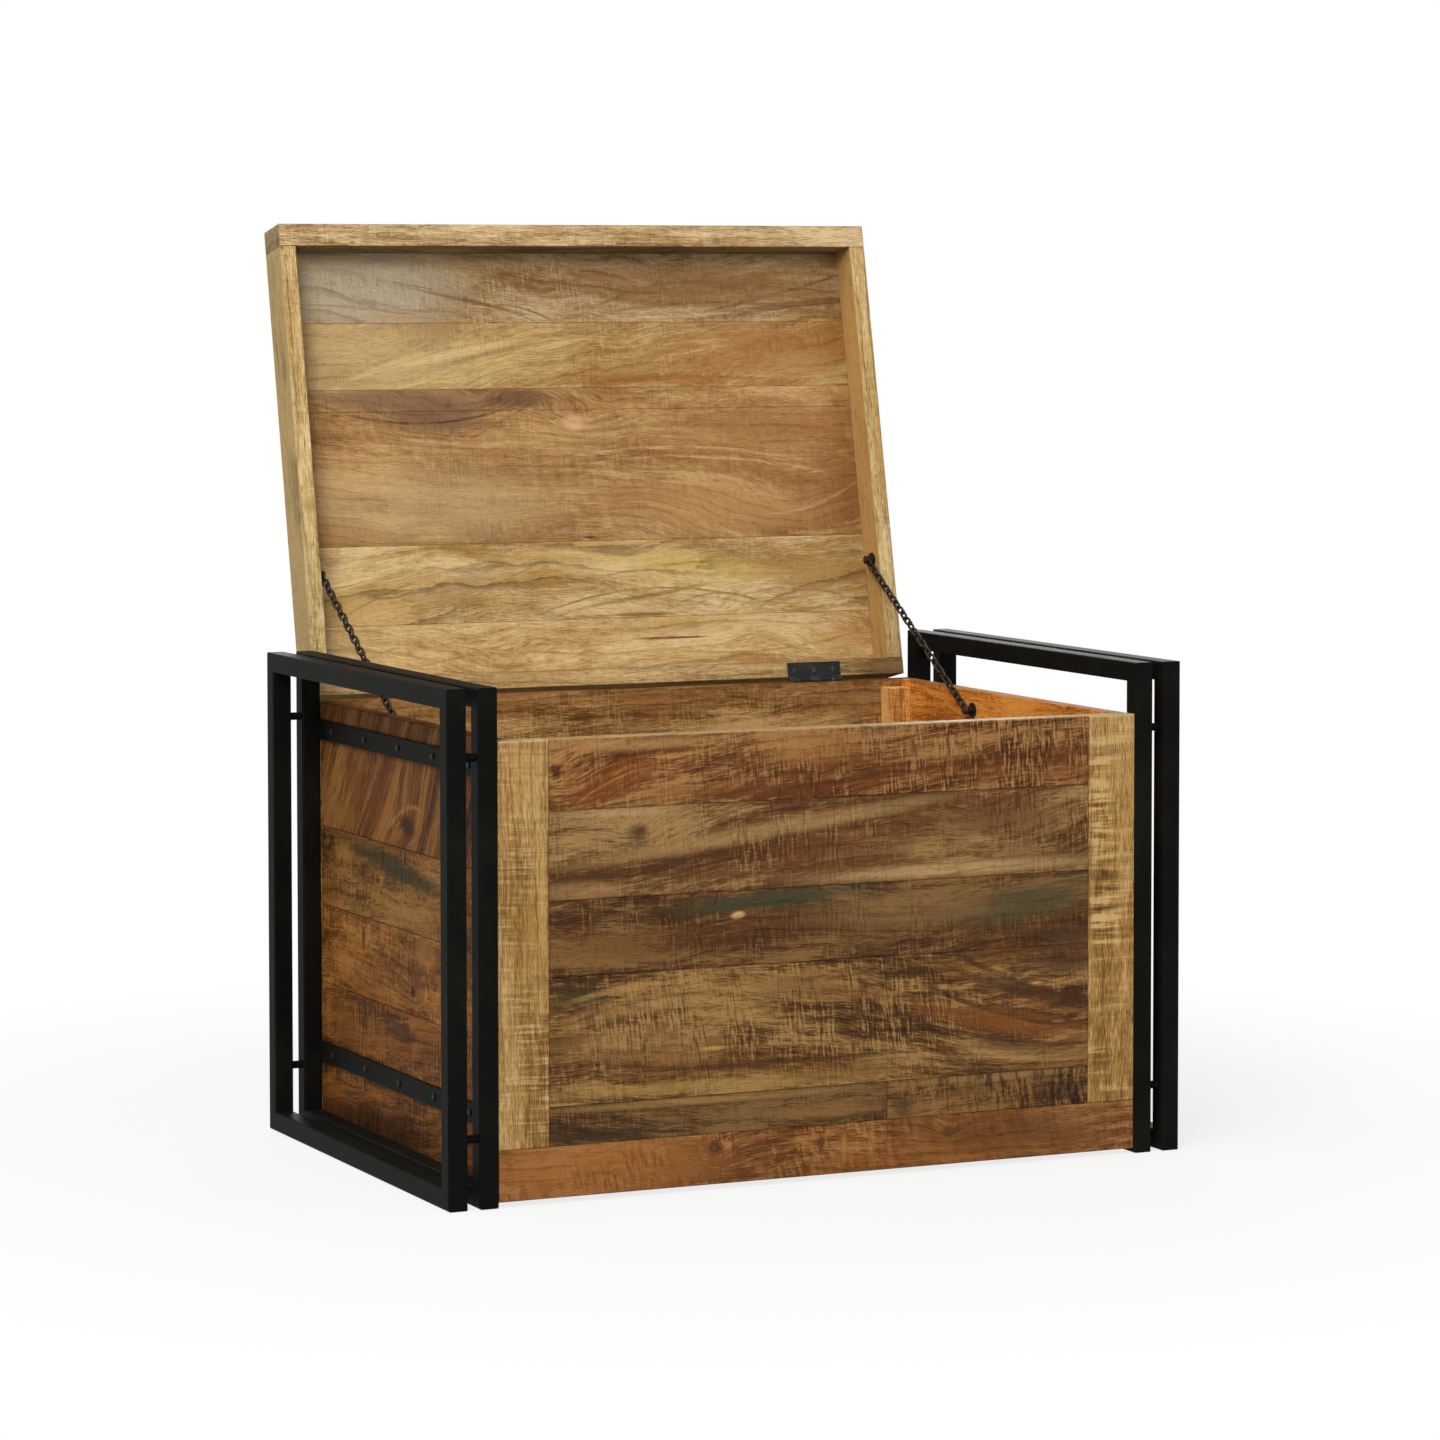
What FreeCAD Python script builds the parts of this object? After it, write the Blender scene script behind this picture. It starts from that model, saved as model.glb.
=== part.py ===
import FreeCAD
import Part
import Sketcher
import math
import os

# Lift-lid trunk chest hung between two pairs of square-tube side frames.
# Millimetres. +X is the viewer's right, the front faces -Y, +Z is up.
# The origin is on the floor, under the middle of the box that the open trunk fills.
# Every piece is drawn about the middle of the side frames and set down from there.
# The lid stands open, leaning back past upright, with its two stay chains taut.

doc = FreeCAD.newDocument("trunk_chest")
sheet = doc.addObject("Spreadsheet::Sheet", "sizes")
nodes = {}


class Dim:
    """A size that carries both its number and the spreadsheet expression that gives it."""

    def __init__(self, value, text):
        self.value = float(value)
        self.text = text

    def __add__(self, other):
        other = dim(other)
        return Dim(self.value + other.value, f"({self.text} + {other.text})")

    def __sub__(self, other):
        other = dim(other)
        return Dim(self.value - other.value, f"({self.text} - {other.text})")

    def __mul__(self, other):
        other = dim(other)
        return Dim(self.value * other.value, f"({self.text} * {other.text})")

    def __truediv__(self, other):
        other = dim(other)
        return Dim(self.value / other.value, f"({self.text} / {other.text})")

    def __neg__(self):
        return Dim(-self.value, f"(0 - {self.text})")


def dim(value):
    """Return a Dim for a Dim or a plain number."""
    if isinstance(value, Dim):
        return value
    return Dim(value, f"({value})")


def cosine(angle):
    """Return the cosine of an angle in degrees."""
    return Dim(math.cos(math.radians(angle.value)), f"cos({angle.text} * 1deg)")


def sine(angle):
    """Return the sine of an angle in degrees."""
    return Dim(math.sin(math.radians(angle.value)), f"sin({angle.text} * 1deg)")


def hypotenuse(one, other):
    """Return the length of the longest side of a right triangle."""
    return Dim(math.hypot(one.value, other.value), f"sqrt({one.text}^2 + {other.text}^2)")


def size(alias, value):
    """Put one driving dimension on the sheet and return it."""
    row = size.rows + 1
    size.rows = row
    sheet.set(f"A{row}", alias)
    sheet.set(f"B{row}", str(value))
    sheet.setAlias(f"B{row}", alias)
    return Dim(value, f"sizes.{alias}")


size.rows = 0
ZERO = dim(0)

# Side frames
overall_width = size("overall_width", 800)
overall_depth = size("overall_depth", 510)
overall_height = size("overall_height", 500)
tube_size = size("tube_size", 20)
tube_wall = size("tube_wall", 1.5)
tube_corner = size("tube_corner", 2)
frame_gap = size("frame_gap", 12)
standoff_radius = size("standoff_radius", 4)
standoff_rise = size("standoff_rise", 67)

# Flat bars and their screws
bar_height = size("bar_height", 20)
bar_thickness = size("bar_thickness", 4)
bar_top_drop = size("bar_top_drop", 28)
bar_base_rise = size("bar_base_rise", 78)
bar_screw_count = size("bar_screw_count", 5)
bar_screw_end = size("bar_screw_end", 45)
bar_screw_head_radius = size("bar_screw_head_radius", 3.6)
bar_screw_head_height = size("bar_screw_head_height", 1.8)
bar_screw_rim_height = size("bar_screw_rim_height", 0.8)
bar_screw_crown_radius = size("bar_screw_crown_radius", 2.2)
bar_screw_radius = size("bar_screw_radius", 1.75)
bar_screw_length = size("bar_screw_length", 17)

# Wooden box
box_inset = size("box_inset", 2)
box_floor_gap = size("box_floor_gap", 5)
board_thickness = size("board_thickness", 18)
board_ease = size("board_ease", 0.5)
stile_width = size("stile_width", 53)
base_rail_height = size("base_rail_height", 50)
front_plank_1_height = size("front_plank_1_height", 69)
front_plank_2_height = size("front_plank_2_height", 87)
front_plank_3_height = size("front_plank_3_height", 74)
front_plank_5_height = size("front_plank_5_height", 38)
front_butt_offset = size("front_butt_offset", 68)
side_top_plank_height = size("side_top_plank_height", 129)
side_base_plank_height = size("side_base_plank_height", 150)
back_plank_count = size("back_plank_count", 4)
bottom_lift = size("bottom_lift", 15)
bottom_thickness = size("bottom_thickness", 12)
post_size = size("post_size", 24)
post_drop = size("post_drop", 8)
screw_clearance = size("screw_clearance", 0.1)

# Lid
lid_thickness = size("lid_thickness", 46)
lid_gap = size("lid_gap", 0.6)
lid_top_drop = size("lid_top_drop", 5.4)
lid_side_clearance = size("lid_side_clearance", 2)
lid_open_angle = size("lid_open_angle", 102)
rim_side = size("rim_side", 18)
rim_front = size("rim_front", 24)
rim_rear = size("rim_rear", 18)
lid_panel_thickness = size("lid_panel_thickness", 11)
lid_plank_1_width = size("lid_plank_1_width", 77.5)
lid_plank_2_width = size("lid_plank_2_width", 73)
lid_plank_3_width = size("lid_plank_3_width", 24)
lid_plank_5_width = size("lid_plank_5_width", 85.5)
lid_plank_6_width = size("lid_plank_6_width", 58.5)

# Butt hinges
hinge_offset = size("hinge_offset", 236)
hinge_length = size("hinge_length", 64)
leaf_width = size("leaf_width", 16)
leaf_thickness = size("leaf_thickness", 1.5)
mortise_clearance = size("mortise_clearance", 0.2)
knuckle_radius = size("knuckle_radius", 3.5)
knuckle_clearance = size("knuckle_clearance", 0.4)
knuckle_gap = size("knuckle_gap", 0.4)
pin_radius = size("pin_radius", 1.75)
pin_clearance = size("pin_clearance", 0.05)
pin_proud = size("pin_proud", 1.2)
hinge_screw_pitch = size("hinge_screw_pitch", 24)
hinge_screw_head_radius = size("hinge_screw_head_radius", 2.6)
hinge_screw_radius = size("hinge_screw_radius", 1.3)
hinge_screw_length = size("hinge_screw_length", 12)

# Stay chains and their screws
chain_inset = size("chain_inset", 8)
chain_box_back = size("chain_box_back", 64)
chain_box_drop = size("chain_box_drop", 21)
chain_lid_reach = size("chain_lid_reach", 130)
chain_lid_depth = size("chain_lid_depth", 16.3)
lower_link_count = size("lower_link_count", 11)
upper_link_count = size("upper_link_count", 16)
wire_radius = size("wire_radius", 1.3)
link_width = size("link_width", 9.2)
link_clearance = size("link_clearance", 0.2)
chain_mid_gap = size("chain_mid_gap", 1.2)
chain_screw_neck_radius = size("chain_screw_neck_radius", 1.4)
chain_screw_side_clearance = size("chain_screw_side_clearance", 0.4)
chain_screw_radius = size("chain_screw_radius", 2)
chain_screw_depth = size("chain_screw_depth", 13)
chain_flange_radius = size("chain_flange_radius", 8)
chain_flange_thickness = size("chain_flange_thickness", 1.6)
chain_collar_radius = size("chain_collar_radius", 4)
chain_head_radius = size("chain_head_radius", 4.6)
chain_head_height = size("chain_head_height", 2.2)
chain_head_crown_radius = size("chain_head_crown_radius", 2.8)
doc.recompute()

# Places worked out from the driving dimensions
frame_front = -overall_depth / 2
frame_back = overall_depth / 2
inner_frame_far = overall_width / 2 - tube_size - frame_gap
box_half = inner_frame_far - tube_size
box_front = frame_front + box_inset
box_back = frame_back - box_inset
box_base = box_floor_gap
box_top = overall_height - lid_top_drop - lid_thickness - lid_gap
wall_half = box_half - board_thickness
wall_front = box_front + board_thickness
wall_back = box_back - board_thickness
upper_bar_centre = box_top - bar_top_drop
lower_bar_centre = box_base + bar_base_rise
bar_length = overall_depth - tube_size * 2
bar_screw_pitch = (bar_length - bar_screw_end * 2) / (bar_screw_count - 1)
pin_back = box_back + knuckle_radius + knuckle_clearance
pin_height = box_top + lid_gap / 2
SIDES = {"left": -1, "right": 1}


def bind(item, path, value):
    """Tie one property of an object to its spreadsheet expression."""
    item.setExpression(path, dim(value).text)


def new_body(label):
    """Return an empty body named for its piece."""
    body = doc.addObject("PartDesign::Body", label)
    body.Label = label
    return body


def origin_item(body, role):
    """Return a body's own origin plane or axis."""
    return next(item for item in body.Origin.OriginFeatures if item.Role == role)


def new_sketch(body, plane, offset):
    """Return a sketch on a body's origin plane, moved by offset = (x, y, z) of the model."""
    sketch = body.newObject("Sketcher::SketchObject", "outline")
    sketch.AttachmentSupport = [(origin_item(body, plane), "")]
    sketch.MapMode = "FlatFace"
    across, up, out = offset
    if plane == "YZ_Plane":
        across, up, out = offset[1], offset[2], offset[0]
    bind(sketch, "AttachmentOffset.Base.x", across)
    bind(sketch, "AttachmentOffset.Base.y", up)
    bind(sketch, "AttachmentOffset.Base.z", out)
    return sketch


def fix_point(sketch, shape, point, across, up):
    """Hold one point of a sketch at bound distances from the sketch's origin."""
    for kind, value in (("DistanceX", dim(across)), ("DistanceY", dim(up))):
        held = Sketcher.Constraint(kind, -1, 1, shape, point, value.value)
        index = sketch.addConstraint(held)
        bind(sketch, f"Constraints[{index}]", value)


def polygon(sketch, points):
    """Draw a closed outline through points, each a pair of sizes in the sketch's plane."""
    corners = [FreeCAD.Vector(dim(a).value, dim(b).value, 0) for a, b in points]
    count = len(corners)
    for i in range(count):
        sketch.addGeometry(Part.LineSegment(corners[i], corners[(i + 1) % count]), False)
    for i in range(count):
        sketch.addConstraint(Sketcher.Constraint("Coincident", i, 2, (i + 1) % count, 1))
    for i, (across, up) in enumerate(points):
        fix_point(sketch, i, 1, across, up)


def circles(sketch, centres, radius):
    """Draw equal circles at centres, each a pair of sizes in the sketch's plane."""
    normal = FreeCAD.Vector(0, 0, 1)
    for across, up in centres:
        centre = FreeCAD.Vector(dim(across).value, dim(up).value, 0)
        shape = sketch.addGeometry(Part.Circle(centre, normal, radius.value), False)
        fix_point(sketch, shape, 3, across, up)
        index = sketch.addConstraint(Sketcher.Constraint("Radius", shape, radius.value))
        bind(sketch, f"Constraints[{index}]", radius)


def rectangle(low, high):
    """Return the corners of a rectangle from its low and high corners."""
    return [low, (high[0], low[1]), high, (low[0], high[1])]


def pad(body, sketch, length):
    """Extrude a sketch along its plane's normal."""
    feature = body.newObject("PartDesign::Pad", "pad")
    feature.Profile = sketch
    bind(feature, "Length", length)
    doc.recompute()
    return feature


def pocket(body, sketch, depth):
    """Cut a sketch into a body, against its plane's normal, and make sure that it cuts."""
    before = body.Shape.Volume
    feature = body.newObject("PartDesign::Pocket", "pocket")
    feature.Profile = sketch
    bind(feature, "Length", depth)
    doc.recompute()
    if body.Shape.Volume >= before:
        raise ValueError(f"a pocket cuts nothing in {body.Label}")
    return feature


def turn(body, sketch, axis, angle=360, backwards=False):
    """Revolve a sketch about its own horizontal or vertical axis."""
    feature = body.newObject("PartDesign::Revolution", "turned")
    feature.Profile = sketch
    feature.ReferenceAxis = (sketch, [axis])
    feature.Angle = angle
    feature.Reversed = backwards
    doc.recompute()
    return feature


def ease_edges(body, feature):
    """Break every edge of a board."""
    edges = [f"Edge{i + 1}" for i in range(len(feature.Shape.Edges))]
    chamfer = body.newObject("PartDesign::Chamfer", "eased")
    chamfer.Base = (feature, edges)
    bind(chamfer, "Size", board_ease)
    doc.recompute()
    return chamfer


def board(label, low, high):
    """Return an eased board between two corners."""
    body = new_body(label)
    sketch = new_sketch(body, "XY_Plane", (ZERO, ZERO, low[2]))
    polygon(sketch, rectangle(low[:2], high[:2]))
    ease_edges(body, pad(body, sketch, high[2] - low[2]))
    return body


def drill_sideways(body, face, outwards, centres, radius, depth):
    """Drill along X into the face at x = face, whose outward side is -1 or 1."""
    start = face if outwards > 0 else face + depth
    sketch = new_sketch(body, "YZ_Plane", (start, ZERO, ZERO))
    circles(sketch, centres, radius)
    pocket(body, sketch, depth)


def drill_upright(body, face, outwards, centres, radius, depth):
    """Drill along Z into the face at z = face, whose outward side is -1 or 1."""
    start = face if outwards > 0 else face + depth
    sketch = new_sketch(body, "XY_Plane", (ZERO, ZERO, start))
    circles(sketch, centres, radius)
    pocket(body, sketch, depth)


def group(label, members):
    """Return one node made of several separate solids."""
    compound = doc.addObject("Part::Compound", label)
    compound.Label = label
    compound.Links = members
    doc.recompute()
    return compound


def keep(item):
    """Set a finished piece down about the origin and list it for writing, under its label."""
    bind(item, "Placement.Base.y", -origin_back)
    nodes[item.Label] = item


def keep_leaning(item, place, lean):
    """Lean a finished piece about X at place = (x, y, z), set it down and list it for writing."""
    across, back, up = place
    spot = f"vector({across.text}; {(back - origin_back).text}; {up.text})"
    item.setExpression("Placement", f"placement({spot}; rotation(vector(1; 0; 0); {lean}))")
    nodes[item.Label] = item


def keep_swung(item):
    """Swing a finished piece of the lid open about the hinge pins and list it for writing."""
    keep_leaning(item, (ZERO, pin_back, pin_height), f"0 - {lid_open_angle.text}")


def frame_tube(label, near_side, outline_points, bore_points):
    """Return one mitred, hollow tube of a side frame, from x = near_side towards +X."""
    body = new_body(label)
    sketch = new_sketch(body, "YZ_Plane", (near_side, ZERO, ZERO))
    polygon(sketch, outline_points)
    bar = pad(body, sketch, tube_size)
    lengths = sorted(edge.Length for edge in bar.Shape.Edges)
    shortest_run = lengths[-4] * 0.999
    runs = [f"Edge{i + 1}" for i, edge in enumerate(bar.Shape.Edges) if edge.Length > shortest_run]
    rounded = body.newObject("PartDesign::Fillet", "rounded")
    rounded.Base = (bar, runs)
    bind(rounded, "Radius", tube_corner)
    doc.recompute()
    bore = new_sketch(body, "YZ_Plane", (near_side + tube_size - tube_wall, ZERO, ZERO))
    polygon(bore, bore_points)
    pocket(body, bore, tube_size - tube_wall * 2)
    return keep(body)


def frame_ring(inset):
    """Return the corners of a frame's rectangle, drawn in by inset, from the front foot round."""
    low = (frame_front + inset, ZERO + inset)
    high = (frame_back - inset, overall_height - inset)
    return rectangle(low, high)


def side_frame(label, near_side):
    """Build the four mitred tubes of one side frame."""
    outer = frame_ring(ZERO)
    inner = frame_ring(tube_size)
    bore_outer = frame_ring(tube_wall)
    bore_inner = frame_ring(tube_size - tube_wall)
    members = ("bottom_rail", "back_post", "top_rail", "front_post")
    for i, member in enumerate(members):
        j = (i + 1) % len(members)
        outline_points = [outer[i], outer[j], inner[j], inner[i]]
        bore_points = [bore_outer[i], bore_outer[j], bore_inner[j], bore_inner[i]]
        frame_tube(f"{label}_{member}", near_side, outline_points, bore_points)


def side_frames():
    """Build the outer and inner frames of both sides."""
    side_frame("left_outer", -overall_width / 2)
    side_frame("left_inner", -inner_frame_far)
    side_frame("right_inner", box_half)
    side_frame("right_outer", overall_width / 2 - tube_size)


def standoffs():
    """Build the round distance pieces between each outer frame and its inner frame."""
    post_middle = overall_depth / 2 - tube_size / 2
    places = [(post, rise) for post in (-post_middle, post_middle)
              for rise in (standoff_rise, overall_height - standoff_rise)]
    members = []
    for side, sign in SIDES.items():
        body = new_body(f"{side}_standoffs")
        start = inner_frame_far if sign > 0 else -inner_frame_far - frame_gap
        sketch = new_sketch(body, "YZ_Plane", (start, ZERO, ZERO))
        circles(sketch, places, standoff_radius)
        pad(body, sketch, frame_gap)
        members.append(body)
    keep(group("frame_standoffs", members))


def bar_screw_places(centre):
    """Return the places, along and up a side, of the screws in one flat bar."""
    count = int(bar_screw_count.value)
    first = -bar_screw_pitch * (bar_screw_count - 1) / 2
    return [(first + bar_screw_pitch * i, centre) for i in range(count)]


def flat_bars():
    """Build the two flat bars of each side, which hold the wooden box to the inner frame."""
    for side, sign in SIDES.items():
        for level, centre in (("upper", upper_bar_centre), ("lower", lower_bar_centre)):
            body = new_body(f"{side}_{level}_bar")
            start = box_half if sign > 0 else -box_half - bar_thickness
            sketch = new_sketch(body, "YZ_Plane", (start, ZERO, ZERO))
            low = (frame_front + tube_size, centre - bar_height / 2)
            high = (frame_back - tube_size, centre + bar_height / 2)
            polygon(sketch, rectangle(low, high))
            pad(body, sketch, bar_thickness)
            face = (box_half + bar_thickness) * sign
            drill_sideways(body, face, sign, bar_screw_places(centre),
                           bar_screw_radius + screw_clearance, bar_thickness)
            keep(body)


def bar_screws():
    """Build the rows of round-headed screws that go through the flat bars into the sides."""
    rows = []
    profile = [(-bar_screw_length, ZERO), (-bar_screw_length, bar_screw_radius),
               (ZERO, bar_screw_radius), (ZERO, bar_screw_head_radius),
               (bar_screw_rim_height, bar_screw_head_radius),
               (bar_screw_head_height, bar_screw_crown_radius), (bar_screw_head_height, ZERO)]
    for side, sign in SIDES.items():
        for level, centre in (("upper", upper_bar_centre), ("lower", lower_bar_centre)):
            body = new_body(f"{side}_{level}_bar_screw_row")
            seat = (box_half + bar_thickness) * sign
            first = bar_screw_places(centre)[0][0]
            sketch = new_sketch(body, "XY_Plane", (seat, first, centre))
            polygon(sketch, [(along * sign, out) for along, out in profile])
            screw = turn(body, sketch, "H_Axis")
            row = body.newObject("PartDesign::LinearPattern", "row")
            row.Originals = [screw]
            row.Direction = (origin_item(body, "Y_Axis"), [""])
            bind(row, "Length", bar_screw_pitch * (bar_screw_count - 1))
            bind(row, "Occurrences", bar_screw_count)
            body.Tip = row
            doc.recompute()
            rows.append(body)
    keep(group("bar_screws", rows))


def box_front_boards():
    """Build the stiles, the base rail and the planks of the front."""
    rail_top = box_base + base_rail_height
    field = box_half - stile_width
    keep(board("front_base_rail", (-box_half, box_front, box_base), (box_half, wall_front, rail_top)))
    keep(board("front_left_stile", (-box_half, box_front, rail_top), (-field, wall_front, box_top)))
    keep(board("front_right_stile", (field, box_front, rail_top), (box_half, wall_front, box_top)))
    seam_1 = box_top - front_plank_1_height
    seam_2 = seam_1 - front_plank_2_height
    seam_3 = seam_2 - front_plank_3_height
    seam_4 = rail_top + front_plank_5_height
    planks = {
        "front_plank_1": (-field, field, seam_1, box_top),
        "front_plank_2": (-field, field, seam_2, seam_1),
        "front_plank_3": (-field, field, seam_3, seam_2),
        "front_plank_4": (-field, field, seam_4, seam_3),
        "front_plank_5_left": (-field, front_butt_offset, rail_top, seam_4),
        "front_plank_5_right": (front_butt_offset, field, rail_top, seam_4),
    }
    for label, (left, right, low, high) in planks.items():
        keep(board(label, (left, box_front, low), (right, wall_front, high)))


def box_sides():
    """Build the four planks of each side, drilled for the bar screws and the chain screw."""
    seam_low = box_base + side_base_plank_height
    seam_high = box_top - side_top_plank_height
    seam_middle = (seam_low + seam_high) / 2
    seams = [box_base, seam_low, seam_middle, seam_high, box_top]
    levels = list(zip(seams[:-1], seams[1:]))
    bite = bar_screw_length - bar_thickness
    for side, sign in SIDES.items():
        boards = []
        for i, (low, high) in enumerate(levels):
            near = wall_half if sign > 0 else -box_half
            far = box_half if sign > 0 else -wall_half
            label = f"{side}_side_plank_{i + 1}"
            boards.append(board(label, (near, wall_front, low), (far, wall_back, high)))
        pilot = bar_screw_radius + screw_clearance
        drill_sideways(boards[0], box_half * sign, sign, bar_screw_places(lower_bar_centre), pilot, bite)
        drill_sideways(boards[-1], box_half * sign, sign, bar_screw_places(upper_bar_centre), pilot, bite)
        chain_place = [(chain_box_back, box_top - chain_box_drop)]
        drill_sideways(boards[-1], wall_half * sign, -sign, chain_place,
                       chain_screw_radius + screw_clearance, chain_screw_depth)
        keep(group(f"{side}_side_planks", boards))


def hinge_screw_places(middle_depth):
    """Return the plan places of the screws in both hinges' leaves on one side of the joint."""
    steps = (-1, 0, 1)
    return [(hinge_offset * sign + hinge_screw_pitch * step, middle_depth)
            for sign in SIDES.values() for step in steps]


def cut_mortises(body, rear, face, outwards):
    """Sink the seats of both hinge leaves into a face that ends at y = rear."""
    start = face if outwards > 0 else face + leaf_thickness
    half = hinge_length / 2 + mortise_clearance
    for sign in SIDES.values():
        sketch = new_sketch(body, "XY_Plane", (ZERO, ZERO, start))
        middle = hinge_offset * sign
        low = (middle - half, rear - leaf_width - mortise_clearance)
        polygon(sketch, rectangle(low, (middle + half, rear)))
        pocket(body, sketch, leaf_thickness)


def box_back_boards():
    """Build the planks of the back, the top one cut for the hinges."""
    count = int(back_plank_count.value)
    step = (box_top - box_base) / back_plank_count
    boards = []
    for i in range(count):
        low = box_base + step * i
        corner = (box_half, box_back, low + step)
        boards.append(board(f"back_plank_{i + 1}", (-box_half, wall_back, low), corner))
    cut_mortises(boards[-1], box_back, box_top, 1)
    drill_upright(boards[-1], box_top - leaf_thickness, 1, hinge_screw_places(box_back - leaf_width / 2),
                  hinge_screw_radius + screw_clearance, hinge_screw_length)
    keep(group("back_planks", boards))


def box_inside():
    """Build the bottom panel and the four corner posts that stand on it."""
    low = box_base + bottom_lift
    top = low + bottom_thickness
    keep(board("bottom_panel", (-wall_half, wall_front, low), (wall_half, wall_back, top)))
    posts = []
    for name, near in (("left", -wall_half), ("right", wall_half - post_size)):
        for end, front in (("front", wall_front), ("back", wall_back - post_size)):
            corner = (near, front, top)
            far = (near + post_size, front + post_size, box_top - post_drop)
            posts.append(board(f"{name}_{end}_corner_post", corner, far))
    keep(group("corner_posts", posts))


# The lid is drawn shut, from its hinge pins, and then swung open about them
lid_half = box_half - lid_side_clearance
rim_half = lid_half - rim_side
lid_rear = box_back - pin_back
lid_front = box_front - pin_back
lid_base = lid_gap / 2
lid_top = lid_base + lid_thickness
panel_front = lid_front + rim_front
panel_rear = lid_rear - rim_rear
chain_lid_place = (lid_rear - chain_lid_reach, lid_base + chain_lid_depth)
open_lid_back = pin_back + lid_front * cosine(lid_open_angle) + lid_top * sine(lid_open_angle)
origin_back = (frame_front + open_lid_back) / 2


def lid_boards():
    """Build the lid's rim and the planks of its sunk panel."""
    front = board("lid_front_rail", (-lid_half, lid_front, lid_base), (lid_half, panel_front, lid_top))
    rear = board("lid_rear_rail", (-lid_half, panel_rear, lid_base), (lid_half, lid_rear, lid_top))
    cut_mortises(rear, lid_rear, lid_base, -1)
    drill_upright(rear, lid_base + leaf_thickness, -1, hinge_screw_places(lid_rear - leaf_width / 2),
                  hinge_screw_radius + screw_clearance, hinge_screw_length)
    keep_swung(front)
    keep_swung(rear)
    for side, sign in SIDES.items():
        near = rim_half if sign > 0 else -lid_half
        far = lid_half if sign > 0 else -rim_half
        stile = board(f"lid_{side}_stile", (near, panel_front, lid_base), (far, panel_rear, lid_top))
        drill_sideways(stile, rim_half * sign, -sign, [chain_lid_place],
                       chain_screw_radius + screw_clearance, chain_screw_depth)
        keep_swung(stile)
    seam_1 = panel_front + lid_plank_1_width
    seam_2 = seam_1 + lid_plank_2_width
    seam_3 = seam_2 + lid_plank_3_width
    seam_5 = panel_rear - lid_plank_6_width
    seam_4 = seam_5 - lid_plank_5_width
    seams = [panel_front, seam_1, seam_2, seam_3, seam_4, seam_5, panel_rear]
    face = lid_top - lid_panel_thickness
    for i in range(len(seams) - 1):
        corner = (rim_half, seams[i + 1], lid_top)
        keep_swung(board(f"lid_plank_{i + 1}", (-rim_half, seams[i], face), corner))


def hinge_leaf(label, middle, plate_low, rear, pin, first_knuckle):
    """Return a hinge leaf: its plate, every other knuckle from first_knuckle, the bore and the screw holes.

    plate_low is the underside of the plate, rear its edge beside the knuckles, pin the pin's (y, z).
    """
    knuckle_slots = 5
    body = new_body(label)
    start = middle - hinge_length / 2
    plate = new_sketch(body, "YZ_Plane", (start, ZERO, ZERO))
    polygon(plate, rectangle((rear - leaf_width, plate_low), (rear, plate_low + leaf_thickness)))
    pad(body, plate, hinge_length)
    knuckle = (hinge_length - knuckle_gap * (knuckle_slots - 1)) / knuckle_slots
    for slot in range(first_knuckle, knuckle_slots, 2):
        place = start + (knuckle + knuckle_gap) * slot
        bridge = new_sketch(body, "YZ_Plane", (place, ZERO, ZERO))
        polygon(bridge, rectangle((rear, plate_low), (pin[0], plate_low + leaf_thickness)))
        pad(body, bridge, knuckle)
        barrel = new_sketch(body, "YZ_Plane", (place, ZERO, ZERO))
        circles(barrel, [pin], knuckle_radius)
        pad(body, barrel, knuckle)
    bore = new_sketch(body, "YZ_Plane", (start + hinge_length, ZERO, ZERO))
    circles(bore, [pin], pin_radius + pin_clearance)
    pocket(body, bore, hinge_length)
    holes = [(middle + hinge_screw_pitch * step, rear - leaf_width / 2) for step in (-1, 0, 1)]
    drill_upright(body, plate_low + leaf_thickness, 1, holes,
                  hinge_screw_head_radius + screw_clearance, leaf_thickness)
    return body


def hinge_pin(label, middle):
    """Return a hinge pin with its tips chamfered."""
    body = new_body(label)
    start = middle - hinge_length / 2 - pin_proud
    sketch = new_sketch(body, "YZ_Plane", (start, ZERO, ZERO))
    circles(sketch, [(pin_back, pin_height)], pin_radius)
    rod = pad(body, sketch, hinge_length + pin_proud * 2)
    tips = [f"Edge{i + 1}" for i, edge in enumerate(rod.Shape.Edges) if edge.Closed]
    chamfer = body.newObject("PartDesign::Chamfer", "tips")
    chamfer.Base = (rod, tips)
    bind(chamfer, "Size", pin_proud / 2)
    doc.recompute()
    return body


def hinges():
    """Build both butt hinges."""
    for side, sign in SIDES.items():
        middle = hinge_offset * sign
        keep(hinge_leaf(f"{side}_hinge_box_leaf", middle, box_top - leaf_thickness, box_back,
                        (pin_back, pin_height), 0))
        lid_leaf = hinge_leaf(f"{side}_hinge_lid_leaf", middle, lid_base, lid_rear, (ZERO, ZERO), 1)
        keep_swung(lid_leaf)
        keep(hinge_pin(f"{side}_hinge_pin", middle))


def hinge_screw_set(label, face, outwards, middle_depth):
    """Return the flat-headed screws of both hinges' leaves on one side of the joint."""
    screws = []
    profile = [(ZERO, ZERO), (hinge_screw_head_radius, ZERO), (hinge_screw_head_radius, -leaf_thickness),
               (hinge_screw_radius, -leaf_thickness),
               (hinge_screw_radius, -leaf_thickness - hinge_screw_length),
               (ZERO, -leaf_thickness - hinge_screw_length)]
    for i, (across, depth) in enumerate(hinge_screw_places(middle_depth)):
        body = new_body(f"{label}_{i + 1}")
        sketch = new_sketch(body, "YZ_Plane", (across, depth, face))
        polygon(sketch, [(out, along * outwards) for out, along in profile])
        turn(body, sketch, "V_Axis")
        screws.append(body)
    return group(label, screws)


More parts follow.
